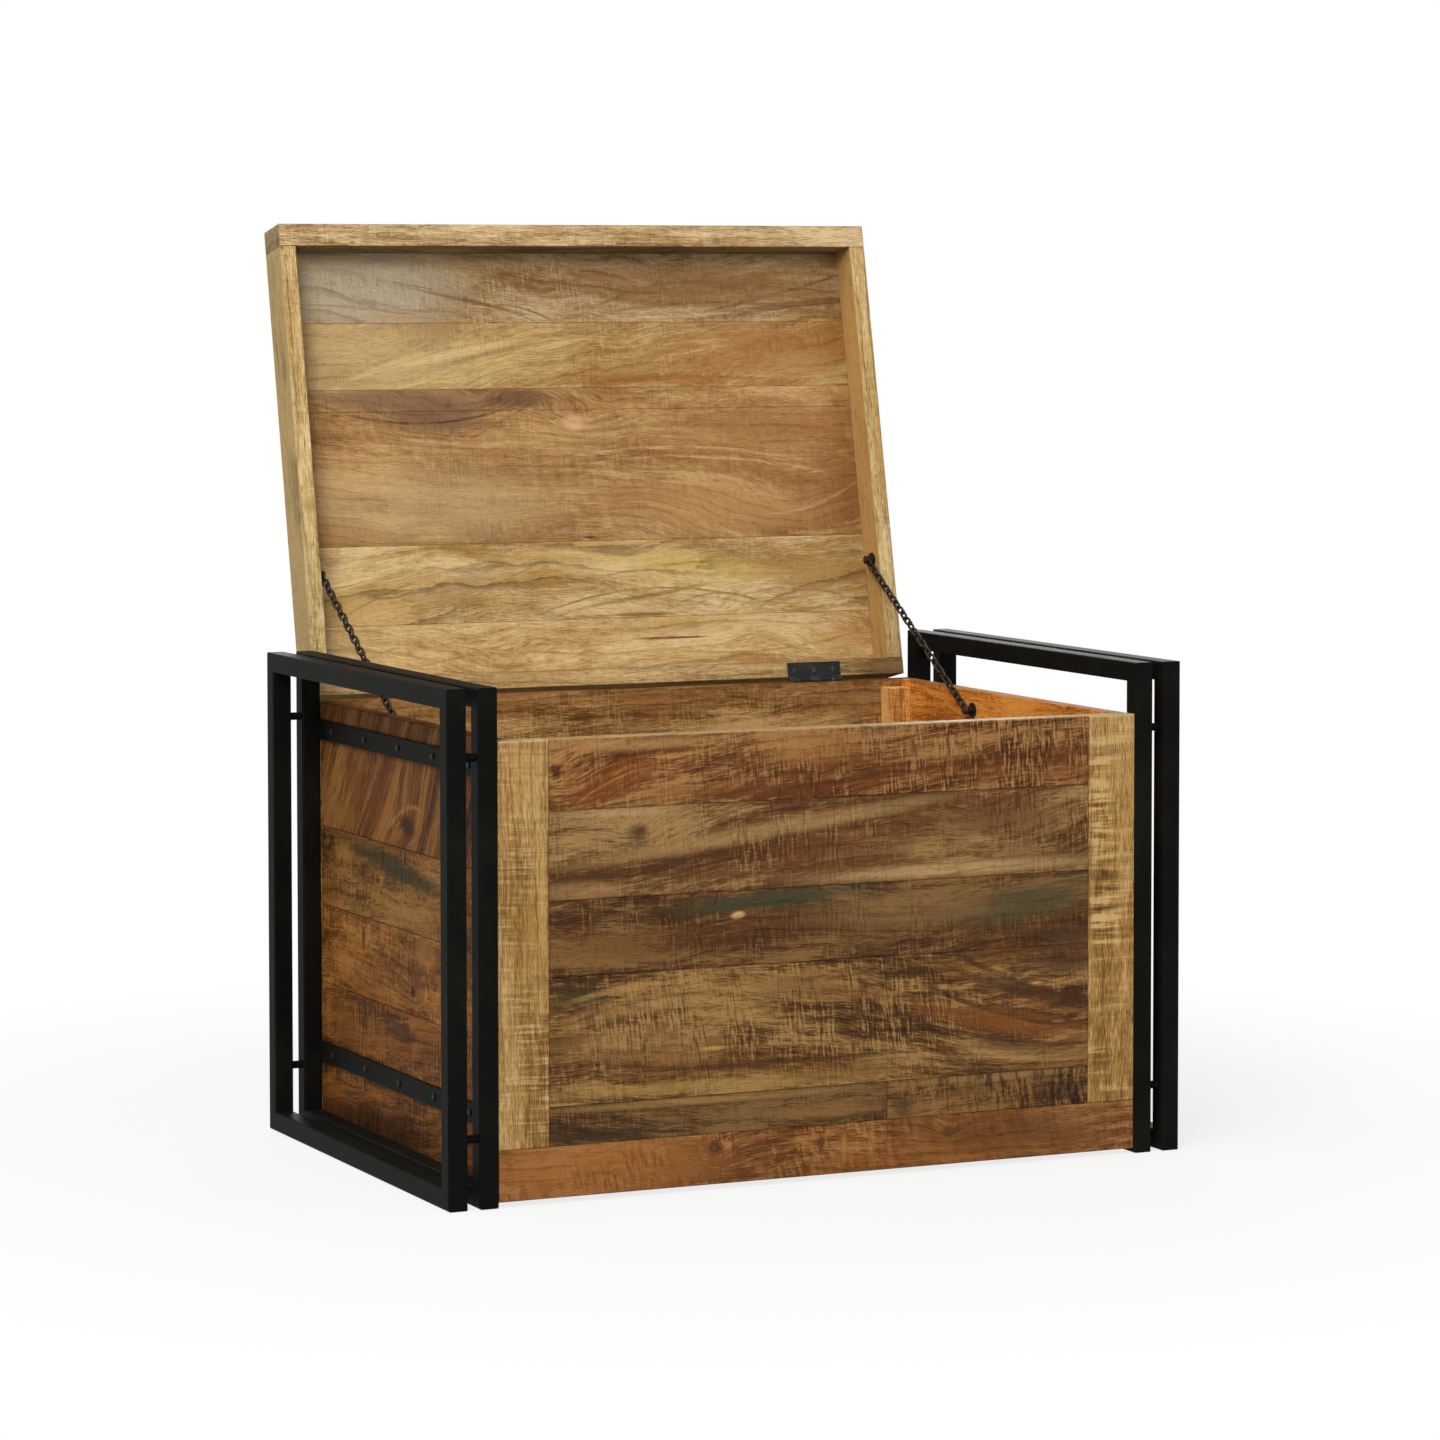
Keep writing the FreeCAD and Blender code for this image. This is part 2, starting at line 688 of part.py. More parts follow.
def hinge_screws():
    """Build the hinge screws of the box and of the lid."""
    keep(hinge_screw_set("hinge_screws_box", box_top, 1, box_back - leaf_width / 2))
    keep_swung(hinge_screw_set("hinge_screws_lid", lid_base, -1, lid_rear - leaf_width / 2))


def chain_screw_set(label, wall, standoff, place):
    """Return the two flanged screws that hold the chains' end links off one pair of walls."""
    collar = standoff - wire_radius - chain_screw_side_clearance
    neck = standoff + wire_radius + chain_screw_side_clearance
    head = neck + chain_head_height
    profile = [(-chain_screw_depth, ZERO), (-chain_screw_depth, chain_screw_radius),
               (ZERO, chain_screw_radius), (ZERO, chain_flange_radius),
               (chain_flange_thickness, chain_flange_radius),
               (chain_flange_thickness, chain_collar_radius), (collar, chain_collar_radius),
               (collar, chain_screw_neck_radius), (neck, chain_screw_neck_radius),
               (neck, chain_head_radius), (neck + chain_head_height / 2, chain_head_radius),
               (head, chain_head_crown_radius), (head, ZERO)]
    screws = []
    for side, sign in SIDES.items():
        body = new_body(f"{label}_{side}")
        sketch = new_sketch(body, "XY_Plane", (wall * sign, place[0], place[1]))
        polygon(sketch, [(along * -sign, out) for along, out in profile])
        turn(body, sketch, "H_Axis")
        screws.append(body)
    return group(label, screws)


def chain_screws():
    """Build the chain screws of the box and of the lid."""
    box_place = (chain_box_back, box_top - chain_box_drop)
    keep(chain_screw_set("chain_screws_box", wall_half, chain_inset, box_place))
    lid_standoff = chain_inset - lid_side_clearance - rim_side + board_thickness
    keep_swung(chain_screw_set("chain_screws_lid", rim_half, lid_standoff, chain_lid_place))


def chain_span():
    """Return how far a taut chain runs back and up, from its box screw to its lid screw."""
    back, up = chain_lid_place
    swung_back = back * cosine(lid_open_angle) + up * sine(lid_open_angle)
    swung_up = up * cosine(lid_open_angle) - back * sine(lid_open_angle)
    return pin_back + swung_back - chain_box_back, pin_height + swung_up - (box_top - chain_box_drop)


def chain_link(body, plane_across, pitch, first, spacing, copies):
    """Build a row of equal wire links along Z, each lying across X or across Y."""
    bow = link_width / 2 - wire_radius
    straight = pitch + link_clearance + wire_radius * 4 - link_width
    low = first - straight / 2
    features = []
    for sign in (-1, 1):
        place = (bow * sign, ZERO) if plane_across == "x" else (ZERO, bow * sign)
        leg = new_sketch(body, "XY_Plane", (ZERO, ZERO, low))
        circles(leg, [place], wire_radius)
        features.append(pad(body, leg, straight))
    for end, height in (("low", low), ("high", low + straight)):
        place = (bow, ZERO) if plane_across == "x" else (ZERO, bow)
        axis = "V_Axis" if plane_across == "x" else "H_Axis"
        arc = new_sketch(body, "XY_Plane", (ZERO, ZERO, height))
        circles(arc, [place], wire_radius)
        upwards = end == "high"
        features.append(turn(body, arc, axis, 180, upwards == (plane_across == "x")))
    row = body.newObject("PartDesign::LinearPattern", "row")
    row.Originals = features
    row.Direction = (origin_item(body, "Z_Axis"), [""])
    bind(row, "Length", spacing * (copies - 1))
    row.Occurrences = copies
    body.Tip = row
    doc.recompute()


def chain_half(label, count, pitch, base, run):
    """Build one half of a stay chain, from its screw at base along run.

    Its links lie flat to the wall and square to it in turn.
    """
    first = pitch / 2 + link_clearance / 2 - chain_screw_neck_radius - link_clearance
    flat = new_body(f"{label}_flat_links")
    chain_link(flat, "y", pitch, first, pitch * 2, (count + 1) // 2)
    square = new_body(f"{label}_square_links")
    chain_link(square, "x", pitch, first + pitch, pitch * 2, count // 2)
    half = group(label, [flat, square])
    back, up = run
    keep_leaning(half, base, f"atan2({(-back).text}; {up.text})")


def chains():
    """Build both stay chains, each as a half hung on the box and a half hung on the lid."""
    back, up = chain_span()
    half_ends = (wire_radius * 2 - chain_screw_neck_radius) * 2
    pitch = (hypotenuse(back, up) - chain_mid_gap - half_ends) / (lower_link_count + upper_link_count)
    box_up = box_top - chain_box_drop
    for side, sign in SIDES.items():
        across = (wall_half - chain_inset) * sign
        chain_half(f"{side}_chain_lower", int(lower_link_count.value), pitch,
                   (across, chain_box_back, box_up), (back, up))
        chain_half(f"{side}_chain_upper", int(upper_link_count.value), pitch,
                   (across, chain_box_back + back, box_up + up), (-back, -up))


def check_and_write():
    """Stop if any object failed, and otherwise write each piece to its own file."""
    doc.recompute()
    failed = [item.Label for item in doc.Objects if set(item.State) & {"Invalid", "Error"}]
    if failed:
        raise ValueError(f"failed objects: {failed}")
    for label, item in nodes.items():
        if item.Shape.isNull() or not item.Shape.isValid() or not item.Shape.Solids:
            raise ValueError(f"{label} has no valid solid")
    os.makedirs("parts", exist_ok=True)
    for label, item in nodes.items():
        item.Shape.exportStep(f"parts/{label}.step")
        print(label, len(item.Shape.Solids), "solids", round(item.Shape.Volume, 1), "mm3")


side_frames()
standoffs()
flat_bars()
bar_screws()
box_front_boards()
box_sides()
box_back_boards()
box_inside()
lid_boards()
hinges()
hinge_screws()
chain_screws()
chains()
check_and_write()
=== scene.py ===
"""Looks of a lift-lid trunk chest: reclaimed planks carried between doubled black steel side frames."""

import logging
import math
from dataclasses import dataclass
from enum import Enum
from typing import Any, ClassVar, Optional, Union

import bmesh
import bpy
from mathutils import Matrix, Vector, noise


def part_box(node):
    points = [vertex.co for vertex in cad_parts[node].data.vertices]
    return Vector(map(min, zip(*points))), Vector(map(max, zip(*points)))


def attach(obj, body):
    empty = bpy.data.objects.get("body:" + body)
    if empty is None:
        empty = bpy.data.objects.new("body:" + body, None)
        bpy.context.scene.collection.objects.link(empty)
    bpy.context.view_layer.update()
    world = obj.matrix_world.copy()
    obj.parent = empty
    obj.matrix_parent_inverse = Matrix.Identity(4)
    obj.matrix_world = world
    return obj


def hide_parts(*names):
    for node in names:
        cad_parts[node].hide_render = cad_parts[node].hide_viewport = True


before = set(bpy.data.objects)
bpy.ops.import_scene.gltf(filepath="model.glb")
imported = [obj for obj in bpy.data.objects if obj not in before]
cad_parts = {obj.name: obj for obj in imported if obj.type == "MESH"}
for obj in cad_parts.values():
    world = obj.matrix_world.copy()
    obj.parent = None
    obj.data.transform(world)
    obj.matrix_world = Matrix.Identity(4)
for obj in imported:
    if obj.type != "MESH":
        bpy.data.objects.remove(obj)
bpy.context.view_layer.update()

LOG = logging.getLogger("trunk_chest")

Point = tuple[float, float]
Point3 = tuple[float, float, float]
Colour = tuple[float, float, float, float]
Value = Union["Socket", float, int]
Key = Union[str, int]
Owner = Union[bpy.types.Material, bpy.types.World]

WHITE: Colour = (1.0, 1.0, 1.0, 1.0)
FULL_BYTE = 255
NOISE_MIDDLE = 0.5


class Way(Enum):
    """Which way a board of the box runs, with its along, across and through axes."""

    FRONT_LEVEL = ((1, 0, 0), (0, 0, 1), (0, 1, 0))
    FRONT_UPRIGHT = ((0, 0, 1), (1, 0, 0), (0, 1, 0))
    SIDE_LEVEL = ((0, 1, 0), (0, 0, 1), (1, 0, 0))
    FLOOR = ((1, 0, 0), (0, 1, 0), (0, 0, 1))


class Side(Enum):
    """A side of the box, as the viewer sees it."""

    LEFT = "left"
    RIGHT = "right"


class Axis(Enum):
    """The axis that a plank's length lies on."""

    WIDTH = 0
    DEPTH = 1


class MixKind(Enum):
    """How one colour goes over another."""

    COVER = "MIX"
    DARKEN = "MULTIPLY"


class Ending(Enum):
    """The node that a tree ends in."""

    SURFACE = "ShaderNodeOutputMaterial"
    SURROUND = "ShaderNodeOutputWorld"


@dataclass(frozen=True)
class Tone:
    """A colour given as 8-bit display values."""

    red: int
    green: int
    blue: int
    curve_foot: ClassVar[float] = 0.04045
    curve_slope: ClassVar[float] = 12.92
    curve_offset: ClassVar[float] = 0.055
    curve_power: ClassVar[float] = 2.4

    def linear(self) -> Colour:
        """Return the scene-linear colour with full alpha."""
        flat = [self.unbend(value / FULL_BYTE) for value in (self.red, self.green, self.blue)]
        return (flat[0], flat[1], flat[2], 1.0)

    def unbend(self, level: float) -> float:
        """Take the display curve off one level.

        Args:
            level: the display level, from 0 to 1.

        Returns:
            The linear level.
        """
        if level <= self.curve_foot:
            return level / self.curve_slope
        return ((level + self.curve_offset) / (1 + self.curve_offset)) ** self.curve_power


class Socket:
    """A node's output that takes part in Python arithmetic by adding Math nodes."""

    def __init__(self, tree: "ShaderTree", output: Optional[bpy.types.NodeSocket]) -> None:
        """Keep the tree and the output that this value stands for."""
        self.tree = tree
        self.output = output

    def math(self, operation: str, *values: Value) -> "Socket":
        """Return one Math node's result on the given values."""
        return self.tree.node("ShaderNodeMath", {"operation": operation}, dict(enumerate(values)))

    def __add__(self, other: Value) -> "Socket":
        """Return self + other."""
        return self.math("ADD", self, other)

    def __radd__(self, other: Value) -> "Socket":
        """Return other + self."""
        return self.math("ADD", other, self)

    def __sub__(self, other: Value) -> "Socket":
        """Return self - other."""
        return self.math("SUBTRACT", self, other)

    def __rsub__(self, other: Value) -> "Socket":
        """Return other - self."""
        return self.math("SUBTRACT", other, self)

    def __mul__(self, other: Value) -> "Socket":
        """Return self * other."""
        return self.math("MULTIPLY", self, other)

    def __rmul__(self, other: Value) -> "Socket":
        """Return other * self."""
        return self.math("MULTIPLY", other, self)

    def __truediv__(self, other: Value) -> "Socket":
        """Return self / other."""
        return self.math("DIVIDE", self, other)

    def __rtruediv__(self, other: Value) -> "Socket":
        """Return other / self."""
        return self.math("DIVIDE", other, self)

    def root(self) -> "Socket":
        """Return the square root."""
        return self.math("SQRT", self)

    def fraction(self) -> "Socket":
        """Return the part after the decimal point."""
        return self.math("FRACT", self)

    def least(self, other: Value) -> "Socket":
        """Return the smaller of two values."""
        return self.math("MINIMUM", self, other)

    def most(self, other: Value) -> "Socket":
        """Return the larger of two values."""
        return self.math("MAXIMUM", self, other)

    def swing(self) -> "Socket":
        """Return how far a noise lies from its middle."""
        return self - NOISE_MIDDLE

    def lifted(self, base: float, gain: float) -> "Socket":
        """Return the base plus this value times the gain."""
        return base + self * gain

    def ease(self, start: float, end: float) -> "Socket":
        """Return a smooth step.

        Args:
            start: the value at which the result is 0.
            end: the value at which the result is 1, which may be under start.

        Returns:
            The eased value, held between 0 and 1.
        """
        low, high = min(start, end), max(start, end)
        goal = (0.0, 1.0) if start < end else (1.0, 0.0)
        inputs = {"Value": self, "From Min": low, "From Max": high, "To Min": goal[0], "To Max": goal[1]}
        return self.tree.node("ShaderNodeMapRange", {"interpolation_type": "SMOOTHSTEP"}, inputs)


class ShaderTree:
    """The node tree of a material or of the surround, with one method that makes any node."""

    mix_under: ClassVar[int] = 6
    mix_over: ClassVar[int] = 7
    mix_colour: ClassVar[int] = 2
    background_rays: ClassVar[tuple[str, ...]] = ("Is Camera Ray", "Is Glossy Ray", "Is Transmission Ray")

    def __init__(self, owner: Owner) -> None:
        """Empty the owner's node tree.

        Args:
            owner: the material or the surround that the nodes belong to.
        """
        owner.use_nodes = True
        self.owner = owner
        self.tree = owner.node_tree
        self.tree.nodes.clear()

    @classmethod
    def named(cls, name: str) -> "ShaderTree":
        """Return the tree of a new material of that name."""
        return cls(bpy.data.materials.new(name))

    def node(self, kind: str, settings: dict[str, Any], inputs: dict[Key, Any], output: Key = 0) -> Socket:
        """Add one node.

        Args:
            kind: the node's type.
            settings: its own settings, such as a Math node's operation or a ramp's stops.
            inputs: values or links for its sockets, by name or number.
            output: the name or number of the output to return.

        Returns:
            The chosen output, which is empty on a node that ends a tree.
        """
        made = self.tree.nodes.new(kind)
        for key, value in settings.items():
            if key == "stops":
                self.set_stops(made.color_ramp, value)
            else:
                setattr(made, key, value)
        for key, value in inputs.items():
            if isinstance(value, Socket):
                self.tree.links.new(value.output, made.inputs[key])
            else:
                made.inputs[key].default_value = value
        return Socket(self, made.outputs[output] if made.outputs else None)

    @staticmethod
    def set_stops(ramp: bpy.types.ColorRamp, stops: list[tuple[float, Tone]]) -> None:
        """Give a colour ramp its stops.

        Args:
            ramp: the ramp, which starts with two stops.
            stops: place and colour of each stop, in rising order.
        """
        while len(ramp.elements) < len(stops):
            ramp.elements.new(stops[1][0])
        for element, (place, tone) in zip(ramp.elements, stops):
            element.position = place
            element.color = tone.linear()

    def vector(self, across: Value, deep: Value, up: Value) -> Socket:
        """Return a vector of three values."""
        return self.node("ShaderNodeCombineXYZ", {}, {0: across, 1: deep, 2: up})

    def noise(self, place: Socket, detail: float, rough: float = 0.5, scale: float = 1.0) -> Socket:
        """Return smooth noise about its middle at a place."""
        inputs = {"Vector": place, "Scale": scale, "Detail": detail, "Roughness": rough}
        return self.node("ShaderNodeTexNoise", {}, inputs, "Fac")

    def mix(self, share: Value, under: Any, over: Any, kind: MixKind = MixKind.COVER) -> Socket:
        """Lay one colour over another.

        Args:
            share: how much of the upper colour shows, from 0 to 1.
            under: the lower colour, as a Socket or a Tone.
            over: the upper colour, as a Socket or a Tone.
            kind: how the upper colour goes on.

        Returns:
            The mixed colour.
        """
        low, high = [c.linear() if isinstance(c, Tone) else c for c in (under, over)]
        settings = {"data_type": "RGBA", "blend_type": kind.value, "clamp_factor": True}
        inputs = {0: share, self.mix_under: low, self.mix_over: high}
        return self.node("ShaderNodeMix", settings, inputs, self.mix_colour)

    def bump(self, height: Socket, strength: float, depth: float) -> Socket:
        """Return the normal of a surface that is raised by a height."""
        inputs = {"Strength": strength, "Distance": depth, "Height": height}
        return self.node("ShaderNodeBump", {}, inputs)

    def place(self) -> Socket:
        """Return the point on the piece, in the part's own frame at rest."""
        return self.node("ShaderNodeTexCoord", {}, {}, "Object")

    def background_share(self) -> Socket:
        """Find the rays that see the white background.

        Returns:
            1 for camera, glossy and transmission rays, and 0 for the others.
        """
        rays = [self.node("ShaderNodeLightPath", {}, {}, name) for name in self.background_rays]
        share = rays[0]
        for ray in rays[1:]:
            share = share.most(ray)
        return share

    def close(self, shader: Socket, ending: Ending = Ending.SURFACE) -> Owner:
        """End the tree in the shader and return the tree's owner."""
        self.node(ending.value, {}, {"Surface": shader})
        return self.owner


@dataclass(frozen=True)
class Lie:
    """How a board lies: a point on its show face, its three axes and its length and width there."""

    origin: Point3
    along: Point3
    across: Point3
    through: Point3
    length: Point = (-1.0, 1.0)
    width: Point = (-1.0, 1.0)

    def coordinates(self, tree: ShaderTree) -> tuple[Socket, Socket, Socket]:
        """Measure a point on the board.

        Args:
            tree: the board's node tree.

        Returns:
            The distances along, across and through the board, in metres.
        """
        place = tree.place()
        found = []
        for axis in (self.along, self.across, self.through):
            inputs = {0: place, 1: axis}
            dot = tree.node("ShaderNodeVectorMath", {"operation": "DOT_PRODUCT"}, inputs, "Value")
            found.append(dot - Vector(axis).dot(Vector(self.origin)))
        return found[0], found[1], found[2]


@dataclass(frozen=True)
class Patch:
    """A soft-edged, broken ellipse on a board's face, in metres along and across it."""

    centre: Point
    reach: Point
    slope: float = 0.0
    broken: float = 0.7
    fade: ClassVar[Point] = (1.15, 0.35)

    def mask(self, along: Socket, across: Socket, ragged: Socket) -> Socket:
        """Return the patch's cover, from 0 to 1.

        Args:
            along: distance along the board.
            across: distance across the board.
            ragged: noise about 0 that breaks the edge up.

        Returns:
            The cover.
        """
        run = along - self.centre[0]
        rise = across - self.centre[1] - run * self.slope
        one = run / self.reach[0]
        other = rise / self.reach[1]
        far = (one * one + other * other).root() + ragged * self.broken
        return far.ease(*self.fade)


@dataclass(frozen=True)
class StainAndPaintedLight:
    """A patch of another colour in a board: a weathered streak, a pale band or a knot's heart, or a patch
    of painted light and shade, such as a painted highlight on a lit face, a painted sheen or painted shade
    at a foot.
    """

    patch: Patch
    tone: Tone
    share: float


@dataclass(frozen=True)
class Vein:
    """A thin line in the figure: its middle, half length, slope, bow at the ends and half width."""

    middle: Point
    half: float
    slope: float
    bow: float
    tone: Tone
    share: float
    width: float
    roughening: ClassVar[float] = 0.9
    fade: ClassVar[Point] = (1.0, 0.45)

    def mask(self, along: Socket, across: Socket, ragged: Socket) -> Socket:
        """Return the line's cover, from 0 to 1.

        Args:
            along: distance along the board.
            across: distance across the board.
            ragged: noise about 0 that roughens the line.

        Returns:
            The cover.
        """
        run = (along - self.middle[0]) / self.half
        rise = across - self.middle[1] - run * (self.slope * self.half) - run * run * self.bow
        rise = rise + ragged * (self.width * self.roughening)
        return (rise * rise).ease(self.width ** 2, 0.0) * (run * run).ease(*self.fade)


@dataclass(frozen=True)
class Knot:
    """A knot or swirl that the grain runs round; the pull is how far it lifts the grain, in metres."""

    centre: Point
    reach: Point
    pull: float = 0.015

    def lift(self, along: Socket, across: Socket) -> Socket:
        """Return how far the grain is lifted at a point.

        Args:
            along: distance along the board.
            across: distance across the board.

        Returns:
            The lift, in metres.
        """
        one = (along - self.centre[0]) / self.reach[0]
        other = (across - self.centre[1]) / self.reach[1]
        return self.pull / (1 + one * one + other * other)


@dataclass(frozen=True)
class Layer:
    """One layer of the wood's figure: noise that is drawn out along the grain, in waves per metre."""

    along: float
    across: float
    seed_step: float
    detail: float
    rough: float
    start: float = 0.0

    def draw(self, tree: ShaderTree, along: Socket, flow: Socket, through: Socket, seed: float) -> Socket:
        """Draw the layer on a board.

        Args:
            tree: the board's node tree.
            along: distance along the board.
            flow: distance across the grain.
            through: distance through the board.
            seed: the board's own number.

        Returns:
            The noise.
        """
        deep = through * self.across + seed * self.seed_step
        place = tree.vector(along * self.along + self.start, flow * self.across, deep)
        return tree.noise(place, self.detail, self.rough)


@dataclass(frozen=True)
class Figure:
    """What every board's figure has in common; a pair of limits is where a part starts and is full."""

    zones: Layer = Layer(5.0, 24.0, 6.0, 5.0, 0.62)
    streaks: Layer = Layer(16.0, 170.0, 80.0, 4.0, 0.66)
    fibre: Layer = Layer(75.0, 820.0, 400.0, 2.0, 0.7)
    pores: Layer = Layer(100.0, 1150.0, 600.0, 0.0, 0.5)
    hue: Layer = Layer(4.0, 15.0, 4.0, 4.0, 0.62, 40.0)
    stops: Point3 = (0.16, 0.5, 0.84)
    zone_depth: float = 2.6
    streak_depth: float = 1.7
    fibre_depth: float = 1.6
    glint_depth: float = 1.15
    pore_limits: Point = (0.6, 0.76)
    pore_depth: float = 0.34
    accent_limits: Point = (0.46, 0.64)
    accent_breaks: Point = (0.4, 1.2)
    ragged_streaks: float = 2.2
    ragged_zones: float = 1.6
    ragged_fibre: float = 0.9
    stain_and_light_breaks: Point = (0.45, 1.1)
    vein_limits: Point = (0.4, 0.6)
    vein_breaks: Point = (0.2, 0.8)
    drift: Point3 = (3.0, 6.0, 5.0)
    drift_detail: float = 2.0
    drift_rough: float = 0.55
    ripple: Point3 = (13.0, 22.0, 9.0)
    ripple_detail: float = 1.0
    ripple_share: float = 0.22
    line_bend: float = 2.5
    line_rise: Point = (0.7, 0.95)
    line_fall: Point = (1.0, 0.96)
    line_hue: Point = (0.36, 0.6)
    curl_along: float = 90.0
    curl_lean: float = 25.0
    curl_across: float = 15.0
    curl_detail: float = 4.0
    curl_rough: float = 0.65
    curl_hue: Point = (0.34, 0.58)
    saw_detail: float = 3.0
    saw_rough: float = 0.7
    saw_group_rate: float = 0.12
    saw_group_across: float = 14.0
    saw_group_detail: float = 2.0
    saw_group_rough: float = 0.6
    saw_dark: Point = (0.5, 0.6)
    saw_dark_group: Point = (0.36, 0.6)
    saw_bright: Point = (0.5, 0.38)
    saw_bright_group: Point = (0.34, 0.56)
    saw_zones: Point = (0.6, 0.42)
    saw_cover: Point = (0.35, 0.65)
    saw_breaks: Point = (0.3, 1.4)
    seam_width: float = 0.0012
    raise_fibre: float = 0.5
    raise_streaks: float = 0.3
    sink_pores: float = 0.5
    sink_lines: float = 0.2
    bump_strength: float = 0.4
    bump_depth: float = 0.0006
    rough_zones: float = 0.3
    rough_saw: float = 0.12
    rough_fibre: float = 0.2


FIGURE = Figure()


@dataclass(frozen=True)
class Timber:
    """A waxed, reclaimed board with flowing zones, streaks, fibres, grain lines, saw marks, stained
    patches and patches of painted light and shade.
    """

    dark: Tone
    mid: Tone
    light: Tone
    accent: Tone
    seed: float
    slope: float = 0.0
    wander: float = 0.035
    zone: float = 1.0
    streak: float = 1.0
    fibre: float = 1.0
    line: float = 0.3
    line_gap: float = 0.014
    accent_share: float = 0.55
    saw: float = 0.5
    saw_pitch: float = 0.0026
    saw_tilt: float = 0.05
    saw_reach: float = 0.022
    saw_patches: tuple[Patch, ...] = ()
    curl: float = 0.0
    knots: tuple[Knot, ...] = ()
    stains_and_painted_light: tuple[StainAndPaintedLight, ...] = ()
    veins: tuple[Vein, ...] = ()
    seam: float = 0.4
    rough: float = 0.46
    shine: float = 0.1

    def material(self, name: str, lie: Lie) -> bpy.types.Material:
        """Build the board's material.

        Args:
            name: the material's name.
            lie: how the board lies.

        Returns:
            The material.
        """
        tree = ShaderTree.named(name)
        along, across, through = lie.coordinates(tree)
        flow = self.flow(tree, along, across, through)
        layers = (FIGURE.zones, FIGURE.streaks, FIGURE.fibre, FIGURE.pores, FIGURE.hue)
        zones, streaks, fibre, pores, hue = [
            layer.draw(tree, along, flow, through, self.seed) for layer in layers]
        pores = pores.ease(*FIGURE.pore_limits)
        lines = self.lines(flow, zones, hue)
        saw, bright = self.saw_marks(tree, along, across, zones, streaks)
        tone = FIGURE.stops[1] + zones.swing() * (self.zone * FIGURE.zone_depth)
        tone = tone + streaks.swing() * (self.streak * FIGURE.streak_depth)
        tone = tone + fibre.swing() * (self.fibre * FIGURE.fibre_depth)
        tone = tone + bright * (self.saw * FIGURE.glint_depth)
        if self.curl:
            tone = tone + self.feather(tree, along, across, hue) * self.curl
        stops = list(zip(FIGURE.stops, (self.dark, self.mid, self.light)))
        colour = tree.node("ShaderNodeValToRGB", {"stops": stops}, {0: tone})
        accent = hue.ease(*FIGURE.accent_limits) * self.accent_share
        colour = tree.mix(accent * streaks.lifted(*FIGURE.accent_breaks), colour, self.accent)
        ragged = streaks.swing() * FIGURE.ragged_streaks + zones.swing() * FIGURE.ragged_zones
        ragged = ragged + fibre.swing() * FIGURE.ragged_fibre
        # Lay on the stained patches and the patches of painted light and shade.
        for stain_and_light in self.stains_and_painted_light:
            cover = stain_and_light.patch.mask(along, across, ragged) * stain_and_light.share
            colour = tree.mix(cover * streaks.lifted(*FIGURE.stain_and_light_breaks), colour, stain_and_light.tone)
        for vein in self.veins:
            cover = vein.mask(along, across, ragged) * vein.share
            broken = streaks.ease(*FIGURE.vein_limits).lifted(*FIGURE.vein_breaks)
            colour = tree.mix(cover * broken, colour, vein.tone)
        shade = (1 - saw * self.saw) * (1 - lines * self.line)
        shade = shade * (1 - pores * (FIGURE.pore_depth * self.fibre))
        shade = shade * self.edge_shade(lie, along, across)
        grey = tree.node("ShaderNodeCombineColor", {}, {0: shade, 1: shade, 2: shade})
        colour = tree.mix(1.0, colour, grey, MixKind.DARKEN)
        height = fibre * FIGURE.raise_fibre + streaks * FIGURE.raise_streaks - saw * self.saw
        height = height - pores * FIGURE.sink_pores - lines * FIGURE.sink_lines
        rough = self.rough + zones.swing() * FIGURE.rough_zones
        rough = rough + saw * FIGURE.rough_saw + fibre.swing() * FIGURE.rough_fibre
        inputs = {
            "Base Color": colour,
            "Roughness": rough,
            "Specular IOR Level": self.shine,
            "Normal": tree.bump(height, FIGURE.bump_strength, FIGURE.bump_depth),
        }
        return tree.close(tree.node("ShaderNodeBsdfPrincipled", {}, inputs))

    def flow(self, tree: ShaderTree, along: Socket, across: Socket, through: Socket) -> Socket:
        """Let the grain wander and bend round the knots.

        Args:
            tree: the board's node tree.
            along: distance along the board.
            across: distance across the board.
            through: distance through the board.

        Returns:
            The distance across the grain.
        """
        run, rise, deep = FIGURE.drift
        place = tree.vector(along * run + self.seed, across * rise, through * deep)
        drift = tree.noise(place, FIGURE.drift_detail, FIGURE.drift_rough).swing()
        run, rise, deep = FIGURE.ripple
        place = tree.vector(along * run, across * rise + self.seed, through * deep)
        ripple = tree.noise(place, FIGURE.ripple_detail).swing()
        flow = across + along * self.slope + drift * self.wander
        flow = flow + ripple * (self.wander * FIGURE.ripple_share)
        for knot in self.knots:
            flow = flow + knot.lift(along, across)
        return flow

    def lines(self, flow: Socket, zones: Socket, hue: Socket) -> Socket:
        """Return the cover of the thin dark growth lines, which come and go."""
        turn = (flow / self.line_gap + zones * FIGURE.line_bend).fraction()
        return turn.ease(*FIGURE.line_rise) * turn.ease(*FIGURE.line_fall) * hue.ease(*FIGURE.line_hue)

